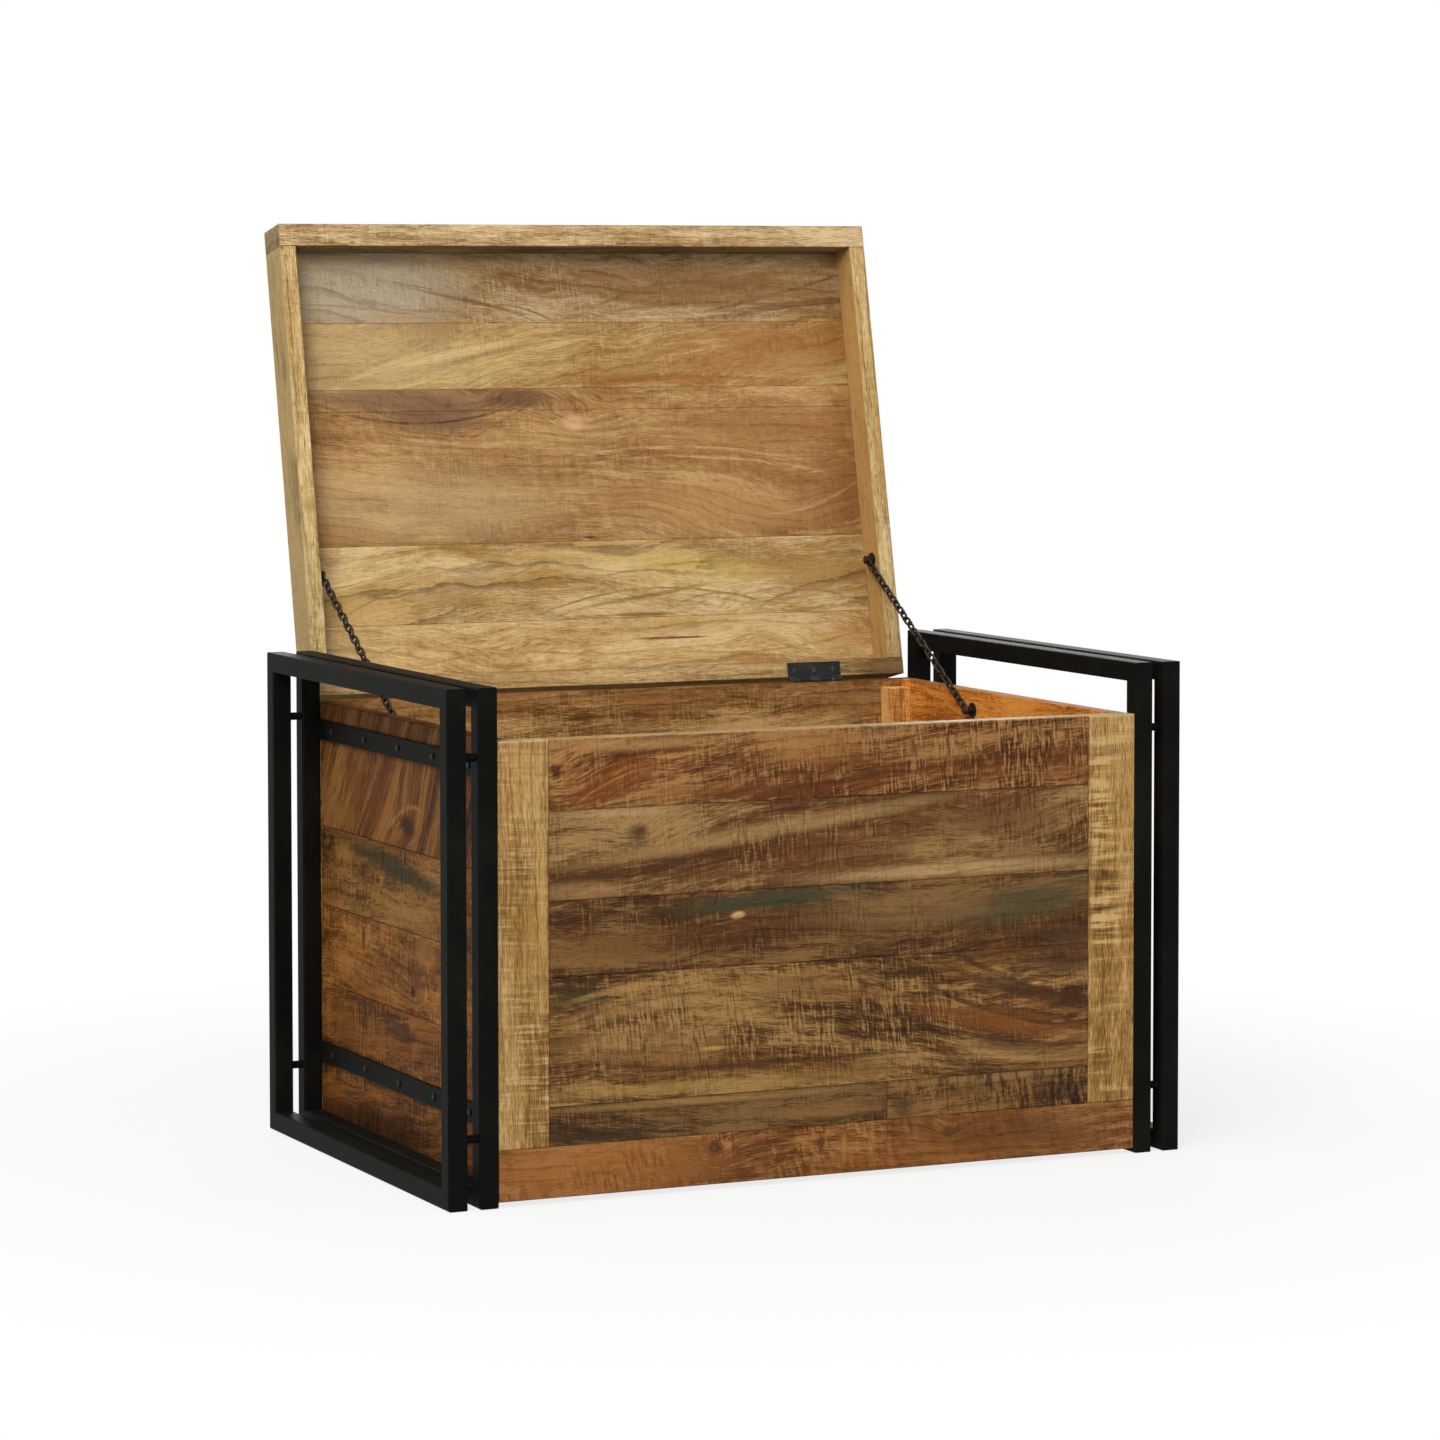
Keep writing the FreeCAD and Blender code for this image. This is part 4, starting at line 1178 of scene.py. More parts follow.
FRONT_BOARDS: dict[str, tuple[Way, Timber]] = {
    "front_left_stile": (Way.FRONT_UPRIGHT, Timber(
        Tone(118, 82, 40), Tone(160, 124, 72), Tone(190, 157, 106), Tone(163, 120, 59), 1.3,
        slope=0.01, wander=0.015, zone=0.6, streak=0.75, line=0.4, line_gap=0.012, accent_share=0.4,
        saw=0.3, saw_pitch=0.0042, saw_reach=0.08,
        # Pale top face of the stile: partly a worn arris, partly a painted highlight where the top face
        # catches the light.
        stains_and_painted_light=(StainAndPaintedLight(Patch((0.448, -0.32), (0.0022, 0.2), 0.0, 0.15), Tone(206, 178, 130), 0.9),))),
    "front_right_stile": (Way.FRONT_UPRIGHT, Timber(
        Tone(118, 79, 36), Tone(164, 126, 71), Tone(195, 159, 104), Tone(174, 134, 76), 4.1,
        slope=-0.02, wander=0.015, zone=0.6, streak=0.6, accent_share=0.4,
        saw=0.6, saw_pitch=0.008, saw_tilt=0.0, saw_reach=0.12,
        saw_patches=(Patch((0.36, 0.315), (0.07, 0.022)), Patch((0.24, 0.315), (0.08, 0.02)),
                     Patch((0.12, 0.318), (0.06, 0.018))),
        # Pale top face of the stile: partly a worn arris, partly a painted highlight where the top face
        # catches the light.
        stains_and_painted_light=(StainAndPaintedLight(Patch((0.448, 0.32), (0.0022, 0.2), 0.0, 0.15), Tone(206, 178, 130), 0.9),))),
    "front_base_rail": (Way.FRONT_LEVEL, Timber(
        Tone(84, 46, 18), Tone(122, 77, 37), Tone(156, 110, 64), Tone(134, 80, 33), 7.7,
        saw=0.35, saw_pitch=0.0045, saw_tilt=0.25, curl=1.6, wander=0.03, zone=0.8,
        knots=(Knot((-0.12, 0.04), (0.02, 0.012)), Knot((0.137, 0.038), (0.018, 0.012))),
        stains_and_painted_light=(StainAndPaintedLight(Patch((-0.12, 0.04), (0.011, 0.008)), Tone(58, 34, 18), 0.85),
                StainAndPaintedLight(Patch((0.137, 0.038), (0.009, 0.007)), Tone(62, 38, 19), 0.85),
                StainAndPaintedLight(Patch((0.186, 0.037), (0.006, 0.005)), Tone(60, 36, 18), 0.8),
                StainAndPaintedLight(Patch((-0.005, 0.036), (0.005, 0.015), 0.6), Tone(70, 36, 16), 0.75),
                StainAndPaintedLight(Patch((0.05, 0.032), (0.004, 0.018), 0.8), Tone(160, 110, 60), 0.7),
                StainAndPaintedLight(Patch((0.02, 0.03), (0.004, 0.018), 0.8), Tone(164, 114, 62), 0.7),
                StainAndPaintedLight(Patch((-0.25, 0.03), (0.14, 0.04)), Tone(150, 97, 48), 0.75),
                StainAndPaintedLight(Patch((0.22, 0.03), (0.16, 0.04)), Tone(100, 61, 27), 0.75)))),
    "front_plank_1": (Way.FRONT_LEVEL, Timber(
        Tone(72, 38, 14), Tone(107, 67, 33), Tone(156, 113, 66), Tone(119, 68, 29), 10.2,
        slope=-0.08, saw=0.6,
        saw_patches=(Patch((0.15, 0.413), (0.2, 0.06)), Patch((-0.05, 0.4), (0.08, 0.02))),
        knots=(Knot((-0.3, 0.40), (0.09, 0.03), 0.0225),),
        veins=(Vein((-0.215, 0.424), 0.07, 0.22, -0.016, Tone(176, 122, 64), 0.55, 0.002),
               Vein((-0.205, 0.416), 0.07, 0.24, -0.016, Tone(96, 48, 20), 0.7, 0.002),
               Vein((-0.215, 0.41), 0.06, 0.3, -0.014, Tone(174, 118, 60), 0.5, 0.002),
               Vein((-0.21, 0.4), 0.055, 0.34, -0.012, Tone(92, 44, 18), 0.65, 0.002)),
        # Pale top face of the plank: partly a worn arris, partly a painted highlight where the top face
        # catches the light.
        stains_and_painted_light=(StainAndPaintedLight(Patch((0.0, 0.4482), (0.6, 0.0016), 0.0, 0.15), Tone(196, 164, 116), 0.85),
                StainAndPaintedLight(Patch((-0.225, 0.405), (0.06, 0.018), 0.3), Tone(132, 72, 30), 0.5),
                StainAndPaintedLight(Patch((-0.2, 0.44), (0.1, 0.007)), Tone(168, 126, 78), 0.6),
                StainAndPaintedLight(Patch((-0.08, 0.388), (0.11, 0.009)), Tone(96, 52, 22), 0.65),
                StainAndPaintedLight(Patch((-0.02, 0.427), (0.05, 0.016)), Tone(160, 110, 60), 0.5),
                StainAndPaintedLight(Patch((-0.288, 0.418), (0.007, 0.009)), Tone(66, 26, 14), 0.9)))),
    "front_plank_2": (Way.FRONT_LEVEL, Timber(
        Tone(72, 44, 20), Tone(106, 72, 38), Tone(150, 116, 72), Tone(95, 57, 27), 13.9,
        slope=-0.1, wander=0.04, saw=0.5,
        saw_patches=(Patch((-0.02, 0.335), (0.13, 0.03)), Patch((0.24, 0.345), (0.09, 0.03))),
        knots=(Knot((-0.201, 0.352), (0.04, 0.02), 0.0225), Knot((0.19, 0.35), (0.06, 0.025), 0.018)),
        stains_and_painted_light=(StainAndPaintedLight(Patch((-0.06, 0.35), (0.22, 0.009), 0.12), Tone(166, 130, 82), 0.6),
                StainAndPaintedLight(Patch((-0.22, 0.374), (0.08, 0.006)), Tone(170, 138, 92), 0.65),
                StainAndPaintedLight(Patch((0.14, 0.301), (0.17, 0.009), 0.01), Tone(176, 142, 96), 0.75),
                StainAndPaintedLight(Patch((0.02, 0.33), (0.11, 0.02), 0.08), Tone(104, 62, 32), 0.5),
                StainAndPaintedLight(Patch((0.2, 0.35), (0.11, 0.03)), Tone(100, 60, 30), 0.7),
                StainAndPaintedLight(Patch((-0.201, 0.355), (0.016, 0.013)), Tone(58, 38, 22), 0.85),
                StainAndPaintedLight(Patch((-0.26, 0.3), (0.05, 0.01)), Tone(164, 126, 80), 0.5)))),
    "front_plank_3": (Way.FRONT_LEVEL, Timber(
        Tone(56, 33, 14), Tone(86, 56, 28), Tone(122, 90, 50), Tone(93, 56, 25), 17.4,
        wander=0.05, saw=0.35,
        stains_and_painted_light=(StainAndPaintedLight(Patch((-0.05, 0.282), (0.12, 0.011), 0.04), Tone(62, 59, 39), 0.95),
                StainAndPaintedLight(Patch((0.225, 0.265), (0.1, 0.022), 0.1), Tone(74, 67, 43), 0.85),
                StainAndPaintedLight(Patch((0.09, 0.262), (0.12, 0.018)), Tone(132, 98, 60), 0.55),
                StainAndPaintedLight(Patch((0.27, 0.226), (0.06, 0.01)), Tone(60, 42, 24), 0.7),
                StainAndPaintedLight(Patch((-0.22, 0.245), (0.11, 0.022)), Tone(98, 56, 26), 0.5),
                StainAndPaintedLight(Patch((-0.095, 0.268), (0.009, 0.0045), 0.1, 0.12), Tone(190, 150, 104), 0.9)))),
    "front_plank_4": (Way.FRONT_LEVEL, Timber(
        Tone(56, 34, 15), Tone(106, 72, 36), Tone(152, 116, 68), Tone(105, 66, 29), 21.8,
        slope=0.04, wander=0.04, saw=0.56, saw_tilt=0.12,
        saw_patches=(Patch((-0.1, 0.16), (0.2, 0.06)), Patch((0.02, 0.165), (0.14, 0.06))),
        knots=(Knot((0.2, 0.12), (0.14, 0.04), 0.027),),
        veins=(Vein((0.21, 0.186), 0.1, -0.4, 0.01, Tone(60, 37, 18), 0.85, 0.004),
               Vein((0.2, 0.17), 0.11, -0.36, 0.012, Tone(146, 96, 48), 0.5, 0.006),
               Vein((0.2, 0.152), 0.11, -0.3, 0.012, Tone(58, 35, 18), 0.8, 0.004),
               Vein((0.18, 0.13), 0.12, -0.2, 0.01, Tone(66, 40, 20), 0.75, 0.003),
               Vein((-0.21, 0.205), 0.09, 0.1, -0.012, Tone(164, 124, 72), 0.7, 0.004),
               Vein((-0.19, 0.192), 0.09, 0.12, -0.012, Tone(62, 46, 26), 0.7, 0.003)),
        stains_and_painted_light=(StainAndPaintedLight(Patch((-0.262, 0.198), (0.05, 0.014)), Tone(58, 49, 28), 0.8),
                StainAndPaintedLight(Patch((0.16, 0.184), (0.009, 0.0015), 0.08, 0.15), Tone(200, 154, 98), 0.9),
                StainAndPaintedLight(Patch((0.235, 0.181), (0.009, 0.0013), 0.08, 0.15), Tone(196, 150, 94), 0.85),
                StainAndPaintedLight(Patch((-0.122, 0.139), (0.018, 0.0026), 0.0, 0.3), Tone(180, 138, 76), 0.8),
                StainAndPaintedLight(Patch((0.273, 0.17), (0.012, 0.01)), Tone(56, 30, 15), 0.8),
                StainAndPaintedLight(Patch((-0.2, 0.185), (0.09, 0.01), 0.15), Tone(160, 120, 72), 0.55),
                StainAndPaintedLight(Patch((-0.2, 0.15), (0.1, 0.02)), Tone(150, 110, 62), 0.45),
                StainAndPaintedLight(Patch((-0.12, 0.103), (0.2, 0.007)), Tone(150, 118, 62), 0.6),
                StainAndPaintedLight(Patch((-0.05, 0.121), (0.24, 0.004)), Tone(70, 44, 23), 0.7),
                StainAndPaintedLight(Patch((0.2, 0.145), (0.12, 0.014), -0.2), Tone(134, 80, 36), 0.6),
                StainAndPaintedLight(Patch((0.22, 0.175), (0.12, 0.012), -0.25), Tone(66, 40, 20), 0.75),
                StainAndPaintedLight(Patch((0.27, 0.2), (0.07, 0.02)), Tone(64, 40, 21), 0.7),
                StainAndPaintedLight(Patch((0.22, 0.118), (0.1, 0.012), -0.1), Tone(74, 45, 23), 0.6)))),
    "front_plank_5_left": (Way.FRONT_LEVEL, Timber(
        Tone(50, 31, 14), Tone(81, 54, 27), Tone(117, 88, 50), Tone(74, 45, 21), 25.1,
        slope=0.05, saw=0.3,
        stains_and_painted_light=(StainAndPaintedLight(Patch((-0.24, 0.062), (0.09, 0.009)), Tone(52, 38, 23), 0.8),
                StainAndPaintedLight(Patch((-0.12, 0.089), (0.2, 0.005)), Tone(156, 120, 70), 0.65),
                StainAndPaintedLight(Patch((0.0, 0.07), (0.08, 0.01)), Tone(132, 92, 50), 0.5)))),
    "front_plank_5_right": (Way.FRONT_LEVEL, Timber(
        Tone(60, 36, 15), Tone(101, 66, 33), Tone(132, 97, 55), Tone(113, 77, 38), 28.6,
        saw=0.7, saw_pitch=0.005,
        stains_and_painted_light=(StainAndPaintedLight(Patch((0.268, 0.07), (0.035, 0.012)), Tone(54, 36, 21), 0.7),
                StainAndPaintedLight(Patch((0.2, 0.089), (0.11, 0.005)), Tone(148, 114, 70), 0.5),
                StainAndPaintedLight(Patch((0.085, 0.068), (0.02, 0.012)), Tone(62, 40, 22), 0.7)))),
}

LEFT_SIDE: tuple[Timber, ...] = (
    Timber(Tone(66, 39, 16), Tone(104, 65, 29), Tone(143, 93, 45), Tone(115, 65, 26), 31.0, slope=0.1,
           **LEFT_GRAIN, saw=0.5, saw_pitch=0.004, saw_reach=0.05,
           # Painted shade: the foot of the left side is darkened where shade falls near the floor.
           stains_and_painted_light=(StainAndPaintedLight(Patch((0.0, 0.02), (0.3, 0.045)), Tone(46, 29, 15), 0.75),
                   StainAndPaintedLight(Patch((-0.07, 0.132), (0.06, 0.013)), Tone(58, 42, 23), 0.75),
                   StainAndPaintedLight(Patch((0.09, 0.12), (0.06, 0.02)), Tone(125, 79, 35), 0.5))),
    Timber(Tone(80, 48, 19), Tone(119, 76, 34), Tone(158, 109, 55), Tone(128, 77, 30), 34.3,
           **LEFT_GRAIN, saw=0.42, knots=(Knot((-0.105, 0.18), (0.03, 0.02), 0.012),),
           stains_and_painted_light=(StainAndPaintedLight(Patch((-0.11, 0.195), (0.025, 0.025)), Tone(92, 56, 25), 0.6),
                   StainAndPaintedLight(Patch((-0.105, 0.178), (0.008, 0.007)), Tone(47, 28, 12), 0.85),
                   StainAndPaintedLight(Patch((0.034, 0.215), (0.005, 0.018)), Tone(60, 35, 16), 0.8),
                   StainAndPaintedLight(Patch((0.09, 0.183), (0.035, 0.014)), Tone(160, 112, 54), 0.6),
                   StainAndPaintedLight(Patch((-0.14, 0.218), (0.03, 0.014)), Tone(152, 106, 56), 0.6))),
    Timber(Tone(62, 42, 19), Tone(101, 70, 33), Tone(144, 102, 53), Tone(112, 71, 31), 37.6, slope=0.05,
           **LEFT_GRAIN, saw=0.4,
           stains_and_painted_light=(StainAndPaintedLight(Patch((-0.08, 0.296), (0.21, 0.013), 0.09), Tone(54, 48, 29), 0.85),
                   StainAndPaintedLight(Patch((0.09, 0.296), (0.03, 0.013)), Tone(150, 108, 54), 0.65),
                   StainAndPaintedLight(Patch((-0.07, 0.255), (0.12, 0.006), 0.1), Tone(146, 107, 57), 0.65))),
    Timber(Tone(56, 33, 13), Tone(98, 62, 30), Tone(146, 100, 55), Tone(108, 60, 24), 40.9, slope=1.4,
           wander=0.06, zone=0.9, streak=1.0, fibre=1.3, saw=0.2, shine=0.02, line=0.3,
           knots=(Knot((-0.09, 0.345), (0.05, 0.04), 0.05),),
           veins=(Vein((-0.09, 0.361), 0.05, -0.24, -0.0145, Tone(160, 112, 62), 0.8, 0.0035),),
           stains_and_painted_light=(StainAndPaintedLight(Patch((-0.09, 0.344), (0.03, 0.014), 0.1, 0.4), Tone(54, 37, 20), 0.9),
                   StainAndPaintedLight(Patch((0.1, 0.335), (0.05, 0.014)), Tone(132, 92, 44), 0.55),
                   StainAndPaintedLight(Patch((0.05, 0.37), (0.06, 0.03), 0.3), Tone(104, 60, 26), 0.5))),
)

RIGHT_SIDE: tuple[Timber, ...] = (
    Timber(Tone(72, 44, 20), Tone(112, 72, 35), Tone(142, 98, 52), Tone(124, 74, 32), 44.2, saw=0.6,
           stains_and_painted_light=(StainAndPaintedLight(Patch((-0.1, 0.03), (0.2, 0.03)), Tone(60, 40, 22), 0.7),)),
    Timber(Tone(84, 50, 22), Tone(120, 78, 38), Tone(150, 106, 58), Tone(98, 64, 32), 47.5, slope=-0.06,
           saw=0.5, knots=(Knot((0.02, 0.2), (0.03, 0.02), 0.018),),
           stains_and_painted_light=(StainAndPaintedLight(Patch((0.02, 0.2), (0.013, 0.012)), Tone(54, 34, 18), 0.85),)),
    Timber(Tone(66, 42, 21), Tone(104, 70, 37), Tone(136, 98, 56), Tone(116, 76, 38), 50.8, slope=0.04,
           saw=0.5,
           stains_and_painted_light=(StainAndPaintedLight(Patch((-0.15, 0.28), (0.12, 0.014)), OLIVE, 0.8),
                   StainAndPaintedLight(Patch((0.1, 0.25), (0.1, 0.008), 0.1), Tone(150, 112, 64), 0.6))),
    # Painted light: the top plank, whose inner face shows inside the box, is made far lighter than the
    # other side planks to stand in for the light falling on that face.
    Timber(Tone(142, 78, 25), Tone(202, 123, 48), Tone(222, 146, 66), Tone(199, 118, 41), 54.1, saw=0.3),
)

BACK_BOARDS: tuple[Timber, ...] = (
    Timber(Tone(82, 46, 20), Tone(132, 84, 42), Tone(168, 118, 66), Tone(142, 82, 36), 57.4, slope=0.03,
           zone=1.1, streak=0.8, line=0.4, saw=0.45, shine=0.0, knots=(Knot((0.16, 0.05), (0.04, 0.02)),),
           stains_and_painted_light=(StainAndPaintedLight(Patch((0.16, 0.055), (0.013, 0.011)), Tone(56, 34, 18), 0.85),
                   StainAndPaintedLight(Patch((-0.2, 0.09), (0.14, 0.012), 0.05), Tone(164, 122, 70), 0.6))),
    Timber(Tone(70, 46, 22), Tone(114, 80, 43), Tone(156, 118, 70), Tone(98, 66, 34), 60.7, slope=-0.03,
           streak=0.8, line=0.4, saw=0.4, shine=0.0,
           stains_and_painted_light=(StainAndPaintedLight(Patch((-0.12, 0.2), (0.2, 0.018), 0.03), OLIVE, 0.7),
                   StainAndPaintedLight(Patch((0.2, 0.15), (0.14, 0.012)), Tone(160, 124, 76), 0.6))),
    Timber(Tone(112, 72, 34), Tone(166, 122, 70), Tone(204, 164, 108), Tone(156, 106, 54), 64.0,
           slope=0.03, zone=0.9, streak=0.75, line=0.4, saw=0.35, shine=0.0),
    Timber(Tone(104, 68, 33), Tone(158, 117, 69), Tone(197, 156, 100), Tone(142, 94, 50), 67.3,
           slope=-0.03, zone=0.8, streak=0.75, line=0.4, saw=0.22, shine=0.0),
)

# Painted light: the corner posts are made far lighter than the other boards to stand in for the light
# falling on their faces inside the box.
POST_WOOD = Timber(Tone(168, 108, 47), Tone(210, 154, 84), Tone(233, 178, 110), Tone(214, 152, 76), 71.0,
                   wander=0.02, saw=0.2)
BOTTOM_WOOD = Timber(Tone(84, 54, 26), Tone(124, 86, 48), Tone(156, 116, 70), Tone(112, 72, 36), 74.0,
                     saw=0.3)

LID_HEART = Timber(
    Tone(116, 76, 38), Tone(154, 116, 71), Tone(184, 148, 99), Tone(146, 103, 56), 95.0, slope=0.06,
    wander=0.05, **PANEL_GRAIN, saw=0.14, curl=0.7, seam=0.06, line=0.25, line_gap=0.012,
    knots=(Knot((-0.009, 0.297), (0.05, 0.022), 0.0225), Knot((-0.16, 0.3), (0.08, 0.03), 0.027),
           Knot((0.24, 0.2), (0.12, 0.06), 0.045), Knot((0.06, 0.19), (0.08, 0.04), -0.027)),
    veins=(Vein((-0.17, 0.299), 0.125, 0.06, 0.024, Tone(74, 48, 30), 0.85, 0.0018),
           Vein((-0.17, 0.308), 0.1, 0.05, 0.018, Tone(90, 62, 42), 0.6, 0.0016),
           Vein((-0.15, 0.318), 0.07, 0.0, 0.014, Tone(88, 60, 40), 0.6, 0.0016),
           Vein((-0.08, 0.307), 0.05, 0.5, 0.0, Tone(84, 54, 32), 0.7, 0.0016),
           Vein((-0.2, 0.275), 0.13, -0.1, 0.006, Tone(128, 94, 62), 0.6, 0.002),
           Vein((0.12, 0.268), 0.16, -0.02, -0.016, Tone(206, 166, 120), 0.55, 0.0022),
           Vein((0.14, 0.257), 0.17, -0.04, -0.018, Tone(204, 162, 114), 0.5, 0.0022),
           Vein((0.08, 0.205), 0.1, -0.2, -0.02, Tone(200, 158, 110), 0.5, 0.0025),
           Vein((0.27, 0.2), 0.07, 0.3, 0.012, Tone(198, 152, 100), 0.5, 0.0025),
           Vein((0.0, 0.195), 0.09, 0.1, -0.022, Tone(116, 80, 48), 0.5, 0.002)),
    stains_and_painted_light=(StainAndPaintedLight(Patch((0.22, 0.28), (0.16, 0.06)), Tone(150, 102, 58), 0.5),
            StainAndPaintedLight(Patch((0.31, 0.22), (0.07, 0.07)), Tone(128, 82, 42), 0.65),
            StainAndPaintedLight(Patch((0.16, 0.2), (0.14, 0.03)), Tone(178, 134, 86), 0.5),
            StainAndPaintedLight(Patch((-0.2, 0.21), (0.18, 0.05)), Tone(174, 146, 106), 0.5),
            StainAndPaintedLight(Patch((-0.21, 0.325), (0.14, 0.016), -0.03, 0.3), Tone(122, 92, 66), 0.9),
            StainAndPaintedLight(Patch((-0.17, 0.305), (0.07, 0.02), 0.0, 0.35), Tone(112, 82, 58), 0.85),
            StainAndPaintedLight(Patch((-0.075, 0.325), (0.045, 0.014), 0.0, 0.3), Tone(100, 70, 46), 0.85),
            StainAndPaintedLight(Patch((-0.009, 0.297), (0.016, 0.011), 0.0, 0.3), Tone(200, 158, 116), 0.8),
            StainAndPaintedLight(Patch((-0.003, 0.17), (0.007, 0.002)), Tone(70, 44, 22), 0.9)))

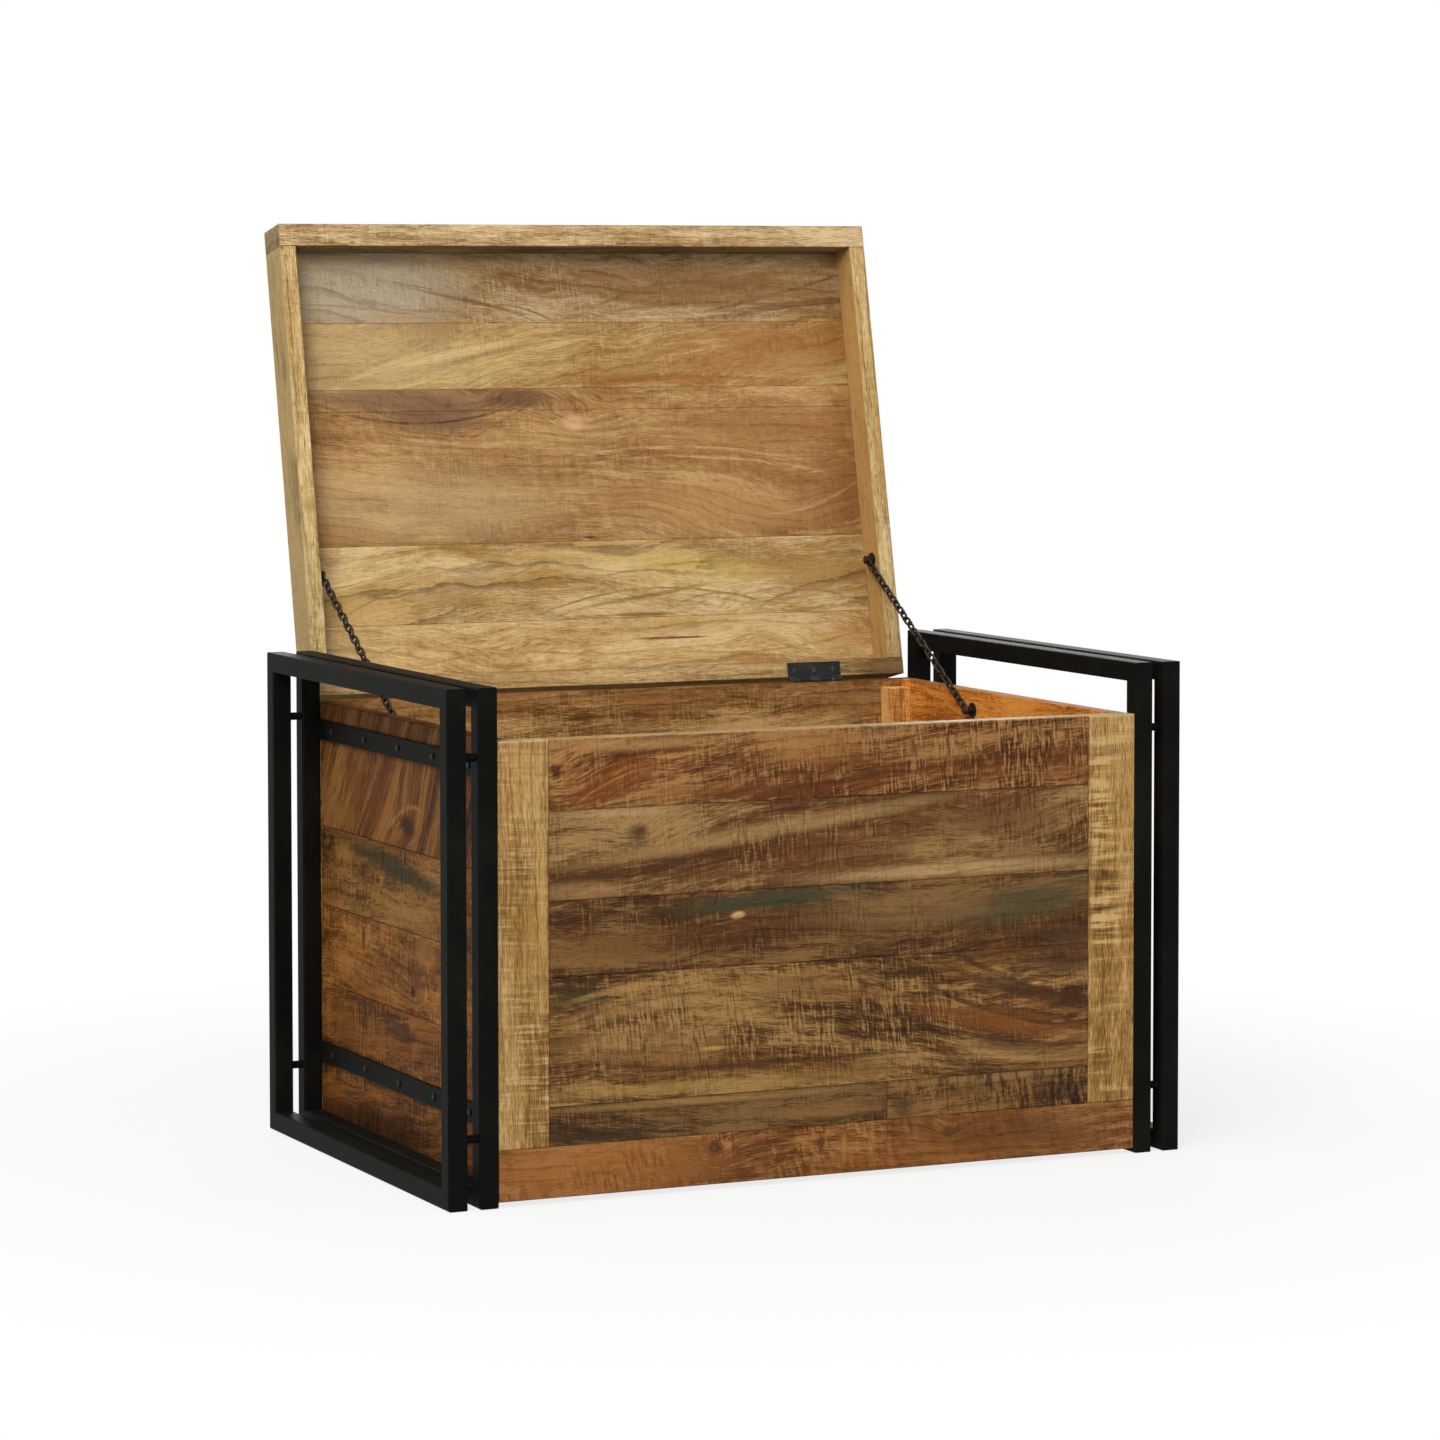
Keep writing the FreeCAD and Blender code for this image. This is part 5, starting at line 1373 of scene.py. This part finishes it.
LID_BOARDS: dict[str, Timber] = {
    "lid_front_rail": Timber(
        Tone(124, 94, 58), Tone(174, 146, 104), Tone(204, 178, 134), Tone(166, 132, 86), 77.0,
        slope=0.02, **RIM_GRAIN, shine=0.03, line=0.4),
    "lid_rear_rail": Timber(
        Tone(136, 106, 66), Tone(172, 142, 96), Tone(202, 172, 120), Tone(164, 126, 76), 80.0,
        **RIM_GRAIN, line=0.4, shine=0.0,
        stains_and_painted_light=(StainAndPaintedLight(Patch((0.33, 0.012), (0.08, 0.03)), Tone(100, 74, 44), 0.75),)),
    "lid_left_stile": Timber(
        Tone(126, 98, 56), Tone(178, 150, 98), Tone(208, 184, 138), Tone(180, 142, 84), 83.0,
        **RIM_GRAIN, shine=0.03, line=0.45,
        # Painted light: the left stile's outer face is made lighter where the light from the left falls on
        # it.
        stains_and_painted_light=(StainAndPaintedLight(Patch((0.25, -0.3463), (0.9, 0.0013), 0.0, 0.1), Tone(216, 182, 122), 0.9),)),
    "lid_right_stile": Timber(
        Tone(140, 110, 64), Tone(184, 156, 104), Tone(210, 186, 140), Tone(184, 142, 82), 86.0,
        **RIM_GRAIN, shine=0.03, line=0.45,
        # Painted light: the right stile's inner face is made lighter and more orange where the light from
        # the left falls on it.
        stains_and_painted_light=(StainAndPaintedLight(Patch((0.25, 0.3277), (0.9, 0.0013), 0.0, 0.1), Tone(226, 176, 106), 0.95),)),
    "lid_plank_1": Timber(
        Tone(118, 84, 46), Tone(156, 125, 85), Tone(184, 158, 118), Tone(146, 108, 64), 89.0,
        slope=0.06, wander=0.05, **PANEL_GRAIN, saw=0.2, seam=0.08, line=0.35, line_gap=0.02,
        knots=(Knot((-0.1, 0.4), (0.12, 0.05), 0.027), Knot((0.12, 0.46), (0.12, 0.05), 0.0315)),
        veins=(Vein((-0.13, 0.437), 0.1, -0.26, -0.006, Tone(108, 80, 48), 0.85, 0.0018),
               Vein((-0.05, 0.422), 0.05, -0.35, -0.012, Tone(104, 76, 46), 0.8, 0.0018),
               Vein((0.12, 0.452), 0.11, 0.1, -0.024, Tone(112, 84, 50), 0.75, 0.0022),
               Vein((0.15, 0.43), 0.14, 0.03, -0.012, Tone(102, 76, 44), 0.7, 0.0022),
               Vein((0.25, 0.44), 0.1, 0.25, 0.004, Tone(96, 68, 36), 0.75, 0.0022),
               Vein((-0.24, 0.425), 0.1, -0.1, -0.008, Tone(124, 106, 78), 0.7, 0.002)),
        stains_and_painted_light=(StainAndPaintedLight(Patch((0.2, 0.45), (0.2, 0.04)), Tone(134, 93, 50), 0.6),
                # Painted sheen: a greyish pale patch at the upper left of the lid stands in for the
                # light's reflection on the waxed wood.
                StainAndPaintedLight(Patch((-0.25, 0.45), (0.13, 0.06)), Tone(172, 158, 132), 0.75),
                StainAndPaintedLight(Patch((-0.115, 0.431), (0.08, 0.0025), -0.22, 0.25), Tone(112, 84, 52), 0.8),
                StainAndPaintedLight(Patch((0.25, 0.425), (0.1, 0.006), 0.12), Tone(96, 70, 38), 0.7),
                StainAndPaintedLight(Patch((0.29, 0.405), (0.03, 0.006), 0.15), Tone(200, 150, 80), 0.7),
                StainAndPaintedLight(Patch((0.294, 0.405), (0.016, 0.003), 0.15, 0.3), Tone(50, 30, 12), 0.95))),
    "lid_plank_2": Timber(
        Tone(124, 82, 38), Tone(157, 122, 72), Tone(186, 160, 107), Tone(149, 108, 54), 92.0,
        slope=-0.1, wander=0.05, **PANEL_GRAIN, saw=0.14, seam=0.08, line=0.25,
        knots=(Knot((-0.2, 0.33), (0.14, 0.06), 0.0315), Knot((0.14, 0.3), (0.18, 0.06), 0.027)),
        veins=(Vein((-0.2, 0.37), 0.1, 0.3, -0.01, Tone(196, 168, 112), 0.6, 0.004),
               Vein((-0.12, 0.365), 0.12, 0.25, -0.012, Tone(200, 170, 112), 0.55, 0.004),
               Vein((0.15, 0.347), 0.14, 0.0, -0.012, Tone(132, 80, 36), 0.6, 0.003),
               Vein((-0.05, 0.385), 0.12, 0.16, -0.008, Tone(140, 104, 60), 0.5, 0.002)),
        stains_and_painted_light=(StainAndPaintedLight(Patch((-0.25, 0.37), (0.17, 0.06)), Tone(172, 146, 104), 0.6),
                StainAndPaintedLight(Patch((-0.14, 0.375), (0.1, 0.006), 0.2), Tone(206, 178, 124), 0.6),
                StainAndPaintedLight(Patch((0.24, 0.37), (0.18, 0.05)), Tone(150, 101, 53), 0.65),
                StainAndPaintedLight(Patch((0.1, 0.345), (0.12, 0.008), -0.03), Tone(140, 86, 40), 0.5))),
    "lid_plank_3": LID_HEART,
    "lid_plank_4": LID_HEART,
    "lid_plank_5": Timber(
        Tone(142, 104, 56), Tone(181, 149, 100), Tone(206, 178, 128), Tone(180, 142, 74), 98.0,
        slope=-0.04, wander=0.05, **PANEL_GRAIN, saw=0.08, seam=0.08, line=0.5, line_gap=0.024,
        knots=(Knot((0.12, 0.07), (0.1, 0.05), 0.0315), Knot((0.2, 0.08), (0.03, 0.03), -0.0135),
               Knot((-0.2, 0.15), (0.1, 0.05), -0.0225)),
        veins=(Vein((0.05, 0.112), 0.14, 0.06, -0.024, Tone(122, 90, 48), 0.75, 0.0018),
               Vein((0.06, 0.104), 0.13, 0.05, -0.02, Tone(132, 98, 54), 0.6, 0.0018),
               Vein((0.145, 0.105), 0.06, 0.0, -0.016, Tone(122, 88, 46), 0.75, 0.0018),
               Vein((0.245, 0.105), 0.06, 0.1, -0.016, Tone(122, 88, 46), 0.75, 0.0018),
               Vein((-0.2, 0.13), 0.1, 0.3, -0.012, Tone(140, 108, 70), 0.6, 0.0022),
               Vein((-0.14, 0.11), 0.08, 0.5, -0.006, Tone(136, 106, 70), 0.6, 0.0022),
               Vein((0.12, 0.14), 0.15, 0.02, -0.02, Tone(146, 112, 58), 0.6, 0.002)),
        stains_and_painted_light=(StainAndPaintedLight(Patch((0.12, 0.135), (0.14, 0.016), -0.1), Tone(186, 154, 80), 0.6),
                StainAndPaintedLight(Patch((0.27, 0.125), (0.09, 0.03)), Tone(148, 106, 56), 0.6),
                StainAndPaintedLight(Patch((-0.16, 0.12), (0.05, 0.02), 0.4), Tone(150, 122, 84), 0.5),
                StainAndPaintedLight(Patch((0.06, 0.104), (0.1, 0.003), 0.15, 0.4), Tone(132, 98, 52), 0.7),
                StainAndPaintedLight(Patch((0.05, 0.084), (0.06, 0.002), 0.0, 0.4), Tone(110, 74, 38), 0.8))),
    "lid_plank_6": Timber(
        Tone(150, 110, 60), Tone(188, 154, 102), Tone(210, 180, 132), Tone(188, 148, 84), 101.0,
        slope=0.04, wander=0.04, **PANEL_GRAIN, saw=0.08, seam=0.08, line=0.35, line_gap=0.018,
        knots=(Knot((-0.1, 0.03), (0.14, 0.03), 0.018), Knot((0.2, 0.07), (0.12, 0.03), -0.018)),
        veins=(Vein((-0.12, 0.047), 0.13, 0.04, -0.016, Tone(146, 106, 60), 0.6, 0.0018),
               Vein((0.2, 0.04), 0.12, 0.06, 0.012, Tone(144, 104, 58), 0.6, 0.0018),
               Vein((-0.22, 0.06), 0.08, 0.2, -0.008, Tone(150, 112, 66), 0.55, 0.002)),
        stains_and_painted_light=(StainAndPaintedLight(Patch((0.075, 0.057), (0.04, 0.0018), 0.0, 0.3), Tone(86, 56, 26), 0.95),
                StainAndPaintedLight(Patch((0.107, 0.057), (0.03, 0.0015), 0.0, 0.3), Tone(96, 64, 30), 0.9),
                StainAndPaintedLight(Patch((0.29, 0.05), (0.06, 0.02)), Tone(164, 118, 66), 0.5))),
}


def main() -> None:
    """Build and dress the chest's sub-assemblies in order, then the studio."""
    logging.basicConfig(level=logging.INFO, format="%(message)s")
    SideFrames().dress()
    Ironwork().dress()
    WoodenBox().build()
    Lid().dress()
    Studio().build()


if __name__ == "__main__":
    main()
